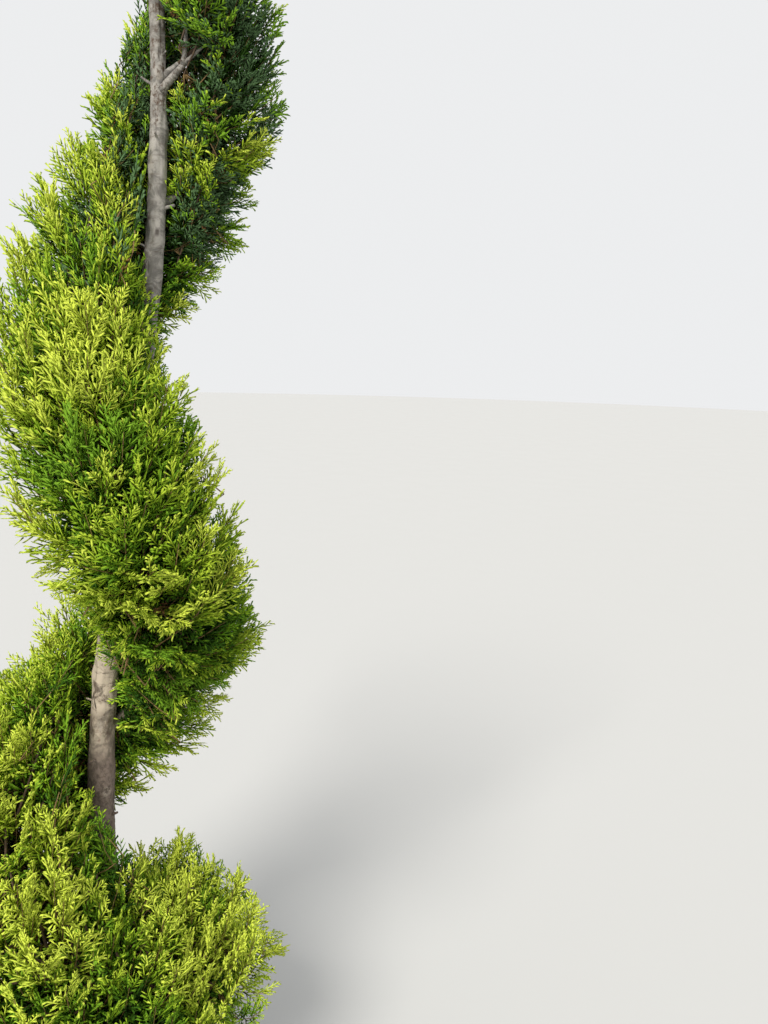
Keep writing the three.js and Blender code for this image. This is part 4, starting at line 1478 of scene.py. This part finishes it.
def branchlet_patterns(total, side_cords, rng):
    """Patterns of one branchlet: a thin axis cord with shorter cords on both sides of it.

    A cord has four corners: two across its foot and two, turned by a right angle, at its blunt tip.
    A pattern gives their places along the middle line in branchlet lengths, and their reach from
    it in cord widths.
    """
    middles, reaches, newness = [], [], []
    first_share, span = SIDE_CORD_SHARES
    at_root, less_at_tip = SIDE_CORD_LENGTH
    for _ in range(total):
        feet = [np.zeros(3)]
        tips = [np.array([1.0, rng.normal(0, 0.03), rng.normal(0, 0.05)])]
        new = [0.5]
        for k in range(side_cords):
            share = first_share + span * k / max(side_cords - 1, 1) + rng.normal(0, 0.02)
            angle = math.radians(rng.uniform(*SIDE_CORD_ANGLE))
            lift = rng.normal(0, 0.35)
            side = 1.0 if k % 2 else -1.0
            reach = (at_root - less_at_tip * share) * rng.uniform(0.75, 1.15)
            foot = np.array([share, 0.0, 0.0])
            aim = np.array([
                math.cos(angle), side * math.sin(angle) * math.cos(lift), math.sin(angle) * math.sin(lift)
            ])
            feet.append(foot)
            tips.append(foot + aim * reach)
            new.append(share)
        foot, tip = np.array(feet), np.array(tips)
        aim = unit(tip - foot)
        side = across(aim, UP)
        roll = rng.uniform(0, math.pi, (len(foot), 1))
        first = side * np.cos(roll) + np.cross(aim, side) * np.sin(roll)
        second = np.cross(aim, first)
        near_tip = foot + (tip - foot) * BLUNT_FROM
        middles.append(np.stack([foot, foot, near_tip, tip], axis=1))
        wide = CORD_FOOT * first
        reaches.append(np.stack([wide, -wide, second, -second], axis=1))
        newness.append(new)
    return np.array(middles), np.array(reaches), np.array(newness)


def spray_branchlets(root, tip, normal, branchlets, rng):
    """Feet, frames and lengths of the branchlets along each spray, with how far along they sit."""
    total = len(root)
    span = tip - root
    long = np.linalg.norm(span, axis=1)
    sag = across(unit(span), UP + normal * 0.3)
    bend = (root + tip) / 2 - sag * (long * rng.uniform(*SPRAY_SAG, total))[:, None]
    flat = np.cross(unit(span), unit(normal + rng.normal(0, 0.35, (total, 3))))
    face = across(unit(span), np.cross(flat, span) + rng.normal(0, 0.03, (total, 3)) * long[:, None])
    share = np.linspace(*BRANCHLET_SHARES, branchlets)
    place, direction = curve(root[:, None], bend[:, None], tip[:, None], share[None, :, None])
    up = across(direction, face[:, None])
    side = np.cross(up, direction)
    sign = np.where(np.arange(branchlets) % 2, 1.0, -1.0)[None, :, None]
    shape = (total, branchlets, 1)
    at_root, less_at_tip = BRANCHLET_ANGLE
    angle = np.radians(at_root - less_at_tip * share)[None, :, None] + rng.normal(0, 0.10, shape)
    twist = rng.normal(0, 0.45, shape)
    angle[:, -1] = 0.0
    aim = direction * np.cos(angle)
    aim = aim + (side * sign * np.cos(twist) + up * np.sin(twist)) * np.sin(angle)
    profile = np.sin(np.pi * np.clip((share + 0.10) / 1.13, 0, 1)) ** 0.75
    least, fuller = BRANCHLET_LENGTH
    reach = long[:, None] * (least + fuller * profile)[None]
    reach = reach * rng.uniform(0.80, 1.2, (total, branchlets))
    last = np.linalg.norm(tip - place[:, -1], axis=1)
    reach[:, -1] = np.maximum(last, 0.10 * long)
    roll = across(aim, up + side * rng.normal(0, 0.35, shape))
    frames = np.stack([aim, np.cross(roll, aim), roll], axis=-1)
    return place, frames, reach, share, bend


def tint_values(spray_light, share, newness, rng):
    """How light each cord is: young tips and sunlit sprays are light, roots are dark."""
    total, branchlets = len(spray_light), len(share)
    value = spray_light[:, None, None] + TIP_LIGHT * (share[None, :, None] - 0.55)
    value = value + NEW_LIGHT * (newness - 0.45)
    return value + rng.normal(0, 0.035, (total, branchlets, 1))


def near_places(point, *features):
    """The sum of what some features add to the points round them."""
    total = np.zeros(point.shape[:-1])
    for place, reach, change in features:
        apart = np.linalg.norm(point - np.array(place), axis=-1) / reach
        total = total + change * np.exp(-(apart ** 2))
    return total


def sunlight(quarter, point, normal):
    """How light a spray is: by its side, with painted sunlight partly standing for the yellower growth of
    a sunny side; by its height, with painted shade high up, painted light on the low turn and a band of
    young growth; by random patches; and by the painted shade and sunlight of two places near it.
    """
    side = smoothstep(normal @ PAINTED_SUN_SIDE, -0.05, 0.95)
    patch = lattice(quarter / 4, point[..., 2] / TRUNK_TOP, 13, 37, 111) - 0.5
    high = smoothstep(point[..., 2], 1.70, 2.15)
    low = 1.0 - smoothstep(point[..., 2], 0.55, 1.00)
    low_painted_sun = smoothstep(normal @ LOW_PAINTED_SUN_SIDE, 0.62, 0.95)
    band = np.exp(-((point[..., 2] - YOUNG_BAND) / 0.20) ** 2)
    light = LIGHT["base"] + LIGHT["side"] * side + LIGHT["patch"] * patch
    light = light + LIGHT["high"] * high + LIGHT["band"] * band
    light = light + low * (LIGHT["low"] + LIGHT["low_painted_sun"] * low_painted_sun)
    return light + near_places(point, SHADED_HOLLOW, SUNNY_SHOULDER)


def place_cords(place, frames, reach, patterns, cord_width, rng):
    """The corners of every cord, as sprays x branchlets x cords x 4 x 3, and how new each cord is."""
    middles, reaches, newness = patterns
    pick = rng.integers(0, len(middles), reach.shape)
    middle = np.einsum("nbij,nbckj->nbcki", frames, middles[pick]) * reach[..., None, None, None]
    thick = cord_width * np.clip(reach / 0.045, 0.75, 1.15)
    around = np.einsum("nbij,nbckj->nbcki", frames, reaches[pick]) * thick[..., None, None, None]
    return place[:, :, None, None] + middle + around, newness[pick]


class Sprays:
    """Gathers the cords of every spray, by tint, and the twigs that carry them."""

    def __init__(self, settings, seed):
        self.rng = np.random.default_rng(seed)
        self.width = settings.cord_width
        plain = [name for name, _ in TINT_STEPS]
        self.cords = {name: [] for name in (*plain, "painted_cool_shade", "grass", "dry")}
        self.twigs = []

    def grow(self, root, tip, normal, light, layer):
        branchlets = layer["branchlets"]
        patterns = branchlet_patterns(10, layer["cords"], self.rng)
        place, frames, reach, share, bend = spray_branchlets(root, tip, normal, branchlets, self.rng)
        width = self.width * layer["thick"]
        corners, newness = place_cords(place, frames, reach, patterns, width, self.rng)
        value = tint_values(light, share, newness, self.rng)
        dead = self.rng.random((len(root), 1, 1)) < layer["dead"]
        bare = self.rng.random((len(root), branchlets, 1)) < layer["dry"]
        bare = bare & (share < DRY_SHARE)[None, :, None]
        dry = np.broadcast_to(dead | bare, value.shape)
        self.deal_tints(corners, value, dry, tip)
        self.axis_twigs(root, bend, tip, place)

    def deal_tints(self, corners, value, dry, tip):
        """Deals the cords out by their values: dry ones first, then the painted cool shade high up, then
        the greener patches.
        """
        high = (tip[:, 2] > COOL_FROM)[:, None, None]
        painted_cool_shade = high & within(value, COOL_VALUES) & ~dry
        around = np.arctan2(tip[:, 1], tip[:, 0]) / (2 * math.pi)
        green = lattice(around, tip[:, 2] / TRUNK_TOP, 17, 47, 114) > GRASS_PATCHES
        grass = green[:, None, None] & within(value, GRASS_VALUES) & ~dry & ~painted_cool_shade
        plain = ~(dry | painted_cool_shade | grass)
        ends = [start for _, start in TINT_STEPS[1:]] + [np.inf]
        for (name, start), end in zip(TINT_STEPS, ends):
            self.cords[name].append(corners[plain & (value >= start) & (value < end)])
        for name, chosen in (("dry", dry), ("painted_cool_shade", painted_cool_shade), ("grass", grass)):
            self.cords[name].append(corners[chosen])

    def axis_twigs(self, root, bend, tip, place):
        thick = np.clip(np.linalg.norm(tip - root, axis=1) / 0.15, 0.4, 1.1) * SPRAY_TWIG
        self.twigs.append(tubes(root, bend, place[:, -1], thick, thick * 0.35, 3, 4))

    def feed(self, root, fork, heart_point):
        """A twig from the nearest fork to each spray's root."""
        bend = (root + fork) / 2 + (heart_point - root) * 0.06 - UP * 0.004
        thick = np.clip(np.linalg.norm(root - fork, axis=1) / 0.10, 0.5, 1.0) * FEEDING_TWIG
        self.twigs.append(tubes(fork, bend, root, thick, thick * 0.6, 3, 3))

    def pieces(self, tints, twig_material):
        made = []
        low, high = np.array(CAD_BOUNDS[0]) - STAND_PROUD, np.array(CAD_BOUNDS[1]) + STAND_PROUD
        for name, groups in self.cords.items():
            corners = np.concatenate([g.reshape(-1, 4, 3) for g in groups])
            corners = corners[((corners > low) & (corners < high)).all(axis=(1, 2))]
            material = scale_leaf(f"{name}_scales", getattr(tints, name))
            shares = max(1, math.ceil(len(corners) * len(CORD_FACES) / MOST_FACES))
            for i in range(shares):
                some = corners[i::shares]
                faces = repeated(CORD_FACES, len(some), 4)
                label = f"{name}_sprays" if shares == 1 else f"{name}_sprays_{i + 1}"
                made.append(mesh_piece(label, some.reshape(-1, 3), faces, material))
        made.append(mesh_piece("spray_twigs", *joined(self.twigs), twig_material))
        return made


def nearest(points, targets):
    """The nearest target to each point."""
    best = np.empty(len(points), int)
    for i in range(0, len(points), 400):
        gap = points[i:i + 400, None] - targets[None]
        best[i:i + 400] = np.argmin(np.sum(gap * gap, axis=-1), axis=1)
    return best


class TOPIARY_OT_foliage(bpy.types.Operator):
    """Grows the sprays of scale leaves all over the ribbon and its leading shoot"""

    bl_idname = "topiary.foliage"
    bl_label = "Foliage"

    def execute(self, context):
        settings = context.scene.topiary_foliage
        sprays = Sprays(settings, 101)
        for layer in LAYERS:
            self.over_skin(sprays, settings, layer)
        self.inner_side(sprays, settings)
        self.leading_shoot(sprays)
        twig_material = twig_bark("twig_bark", context.scene.topiary_bark.twig)
        for piece in sprays.pieces(context.scene.topiary_tints, twig_material):
            finish_piece(piece, FOLIAGE_NODES)
        return {"FINISHED"}

    def plant(self, sprays, good, quarter, root, tip, normal, light, layer):
        """Grows the sprays that found room, each with a twig from the nearest fork."""
        quarter, root, tip, normal, light = (x[good] for x in (quarter, root, tip, normal, light))
        sprays.grow(root, tip, normal, light, layer)
        forks = nodes_of_ribbon()[1]
        sprays.feed(root, forks[nearest(root, forks)], heart(quarter))

    def over_skin(self, sprays, settings, layer):
        rng = sprays.rng
        many = settings.per_square_metre * layer["many"]
        quarter, angle = skin_places(many, layer["crowding"], layer["open_top"])
        full_length = settings.spray_length * layer["long"]
        on_skin = skin(quarter, angle)
        sink = plume_sink(quarter, on_skin[:, 2], rng)
        shallow, deep = layer["depth"]
        inset = shallow + (deep - shallow) * sink
        inset = inset - near_places(on_skin, LEFT_CREST, HANGING_FRONT)
        grown, root, tip, normal = aim_sprays(quarter, angle, inset, full_length, rng)
        light = sunlight(quarter, tip, normal) + layer["light"] - SINK_SHADE * sink
        light = light + rng.normal(0, 0.06, len(quarter))
        self.plant(sprays, grown, quarter, root, tip, normal, light, layer)

    def inner_side(self, sprays, settings):
        """Sprays on the side that faces the trunk."""
        rng = sprays.rng
        layer = dict(LAYERS[1], dry=0.10)
        quarter, point = inner_places(settings.per_square_metre * INNER_MANY)
        out = outwards(quarter)
        tangent = outwards(quarter + 1.0)
        total = len(quarter)
        swing = rng.uniform(-0.8, 0.8, (total, 1))
        direction = unit(UP * 0.9 - out * rng.uniform(0.0, 0.6, (total, 1)) + tangent * swing)
        long = settings.spray_length * INNER_LONG * spray_scale(quarter) ** 0.8
        long = long * rng.uniform(0.7, 1.1, total)
        tip = point + out * rng.uniform(-0.035, 0.02, (total, 1))
        root = tip - direction * long[:, None] + out * 0.012
        place = quarter + turns_from(quarter, root)
        good = inside_core(place, root, 0.0) & clear_along(root, tip, (0.0, 0.5, 1.0))
        light = sunlight(quarter, tip, -out) - INNER_SHADE + rng.normal(0, 0.06, total)
        self.plant(sprays, good, quarter, root, tip, -out, light, layer)

    def leading_shoot(self, sprays):
        """Upright sprays round the leading shoot."""
        rng = sprays.rng
        total = TIP_SPRAYS
        t = np.arange(total) / (total - 1)
        out = level_direction(np.arange(total) * GOLDEN_ANGLE)
        z = TIP_FROM + (TIP_TO - TIP_FROM) * t
        root = trunk_middle(z) + out * (trunk_radius(z) * 0.6)[:, None]
        more_at_foot, at_tip = TIP_LEAN
        lean = more_at_foot * (1 - t) + at_tip
        direction = unit(UP + out * lean[:, None] + rng.normal(0, 0.05, (total, 3)))
        long = (TIP_LENGTH + TIP_FULLER * np.sin(math.pi * t)) * rng.uniform(0.85, 1.08, total)
        tip = root + direction * long[:, None]
        light = 0.50 + rng.normal(0, 0.06, total)
        sprays.grow(root, tip, unit(out + UP * 0.2), light, dict(LAYERS[0], branchlets=10, cords=5))


# Stage

def sun_light(name, side, angle, strength, tint):
    light = bpy.data.lights.new(name, "SUN")
    light.angle = math.radians(angle)
    light.energy = strength
    light.color = tint
    lamp = add_object(name, light)
    lamp.location = Vector(side) * 6.0
    lamp.rotation_euler = (-lamp.location).to_track_quat("-Z", "Y").to_euler()


def place_camera():
    yaw, pitch, roll = (math.radians(a) for a in (EYE_YAW, EYE_PITCH, EYE_ROLL))
    forward = Vector((
        math.sin(yaw) * math.cos(pitch), math.cos(yaw) * math.cos(pitch), -math.sin(pitch)
    ))
    level = Vector((math.cos(yaw), -math.sin(yaw), 0.0))
    upright = level.cross(forward)
    right = level * math.cos(roll) + upright * math.sin(roll)
    above = -level * math.sin(roll) + upright * math.cos(roll)
    data = bpy.data.cameras.new("camera")
    data.sensor_width = SENSOR
    data.lens = EYE_FOCUS / PICTURE_HEIGHT * SENSOR
    camera = add_object("camera", data)
    camera.rotation_euler = Matrix((right, above, -forward)).transposed().to_euler()
    camera.location = EYE_PLACE
    bpy.context.scene.camera = camera


class TOPIARY_OT_stage(bpy.types.Operator):
    """Lays the floor, and sets the studio light and the camera"""

    bl_idname = "topiary.stage"
    bl_label = "Stage"

    def execute(self, context):
        settings = context.scene.topiary_stage
        deselect_all()
        bpy.ops.mesh.primitive_circle_add(vertices=96, radius=30.0, fill_type="NGON")
        floor = context.active_object
        floor.name = "studio_floor"
        finish = Finish("floor_paint")
        finish.colour(settings.floor)
        finish.roughness(finish.noise(3.0), 0.75, 0.9)
        floor.data.materials.append(finish.material)
        world = bpy.data.worlds.new("studio")
        world.use_nodes = True
        light = world.node_tree.nodes["Background"]
        set_inputs(light, {"Color": (*settings.sky, 1.0), "Strength": settings.sky_strength})
        context.scene.world = world
        sun_light("key", SUN_SIDE, settings.key_angle, settings.key_power, (1.0, 0.97, 0.91))
        place_camera()
        context.scene.view_settings.view_transform = "Standard"
        return {"FINISHED"}


# The sidebar, and the making in order

class TOPIARY_PT_panel(bpy.types.Panel):
    """Lists the pieces in the order in which they are made"""

    bl_idname = "TOPIARY_PT_panel"
    bl_label = "Spiral topiary"
    bl_space_type = "VIEW_3D"
    bl_region_type = "UI"
    bl_category = "Topiary"

    def draw(self, context):
        for step in STEPS:
            self.layout.operator(step.bl_idname)


STEPS = (
    TOPIARY_OT_stage,
    TOPIARY_OT_pot,
    TOPIARY_OT_potting_mix,
    TOPIARY_OT_trunk,
    TOPIARY_OT_boughs,
    TOPIARY_OT_branches,
    TOPIARY_OT_foliage,
)
GROUPS = {
    "topiary_pot": PotSettings,
    "topiary_soil": SoilSettings,
    "topiary_bark": BarkSettings,
    "topiary_foliage": FoliageSettings,
    "topiary_tints": TintSettings,
    "topiary_stage": StageSettings,
}


def register():
    for group in (*GROUPS.values(), *STEPS, TOPIARY_PT_panel):
        bpy.utils.register_class(group)
    for name, group in GROUPS.items():
        setattr(bpy.types.Scene, name, bpy.props.PointerProperty(type=group))


def unregister():
    for name in GROUPS:
        delattr(bpy.types.Scene, name)
    for group in reversed((*GROUPS.values(), *STEPS, TOPIARY_PT_panel)):
        bpy.utils.unregister_class(group)


def main():
    register()
    bpy.ops.topiary.stage()
    bpy.ops.topiary.pot()
    bpy.ops.topiary.potting_mix()
    bpy.ops.topiary.trunk()
    bpy.ops.topiary.boughs()
    bpy.ops.topiary.branches()
    bpy.ops.topiary.foliage()


if __name__ == "__main__":
    main()
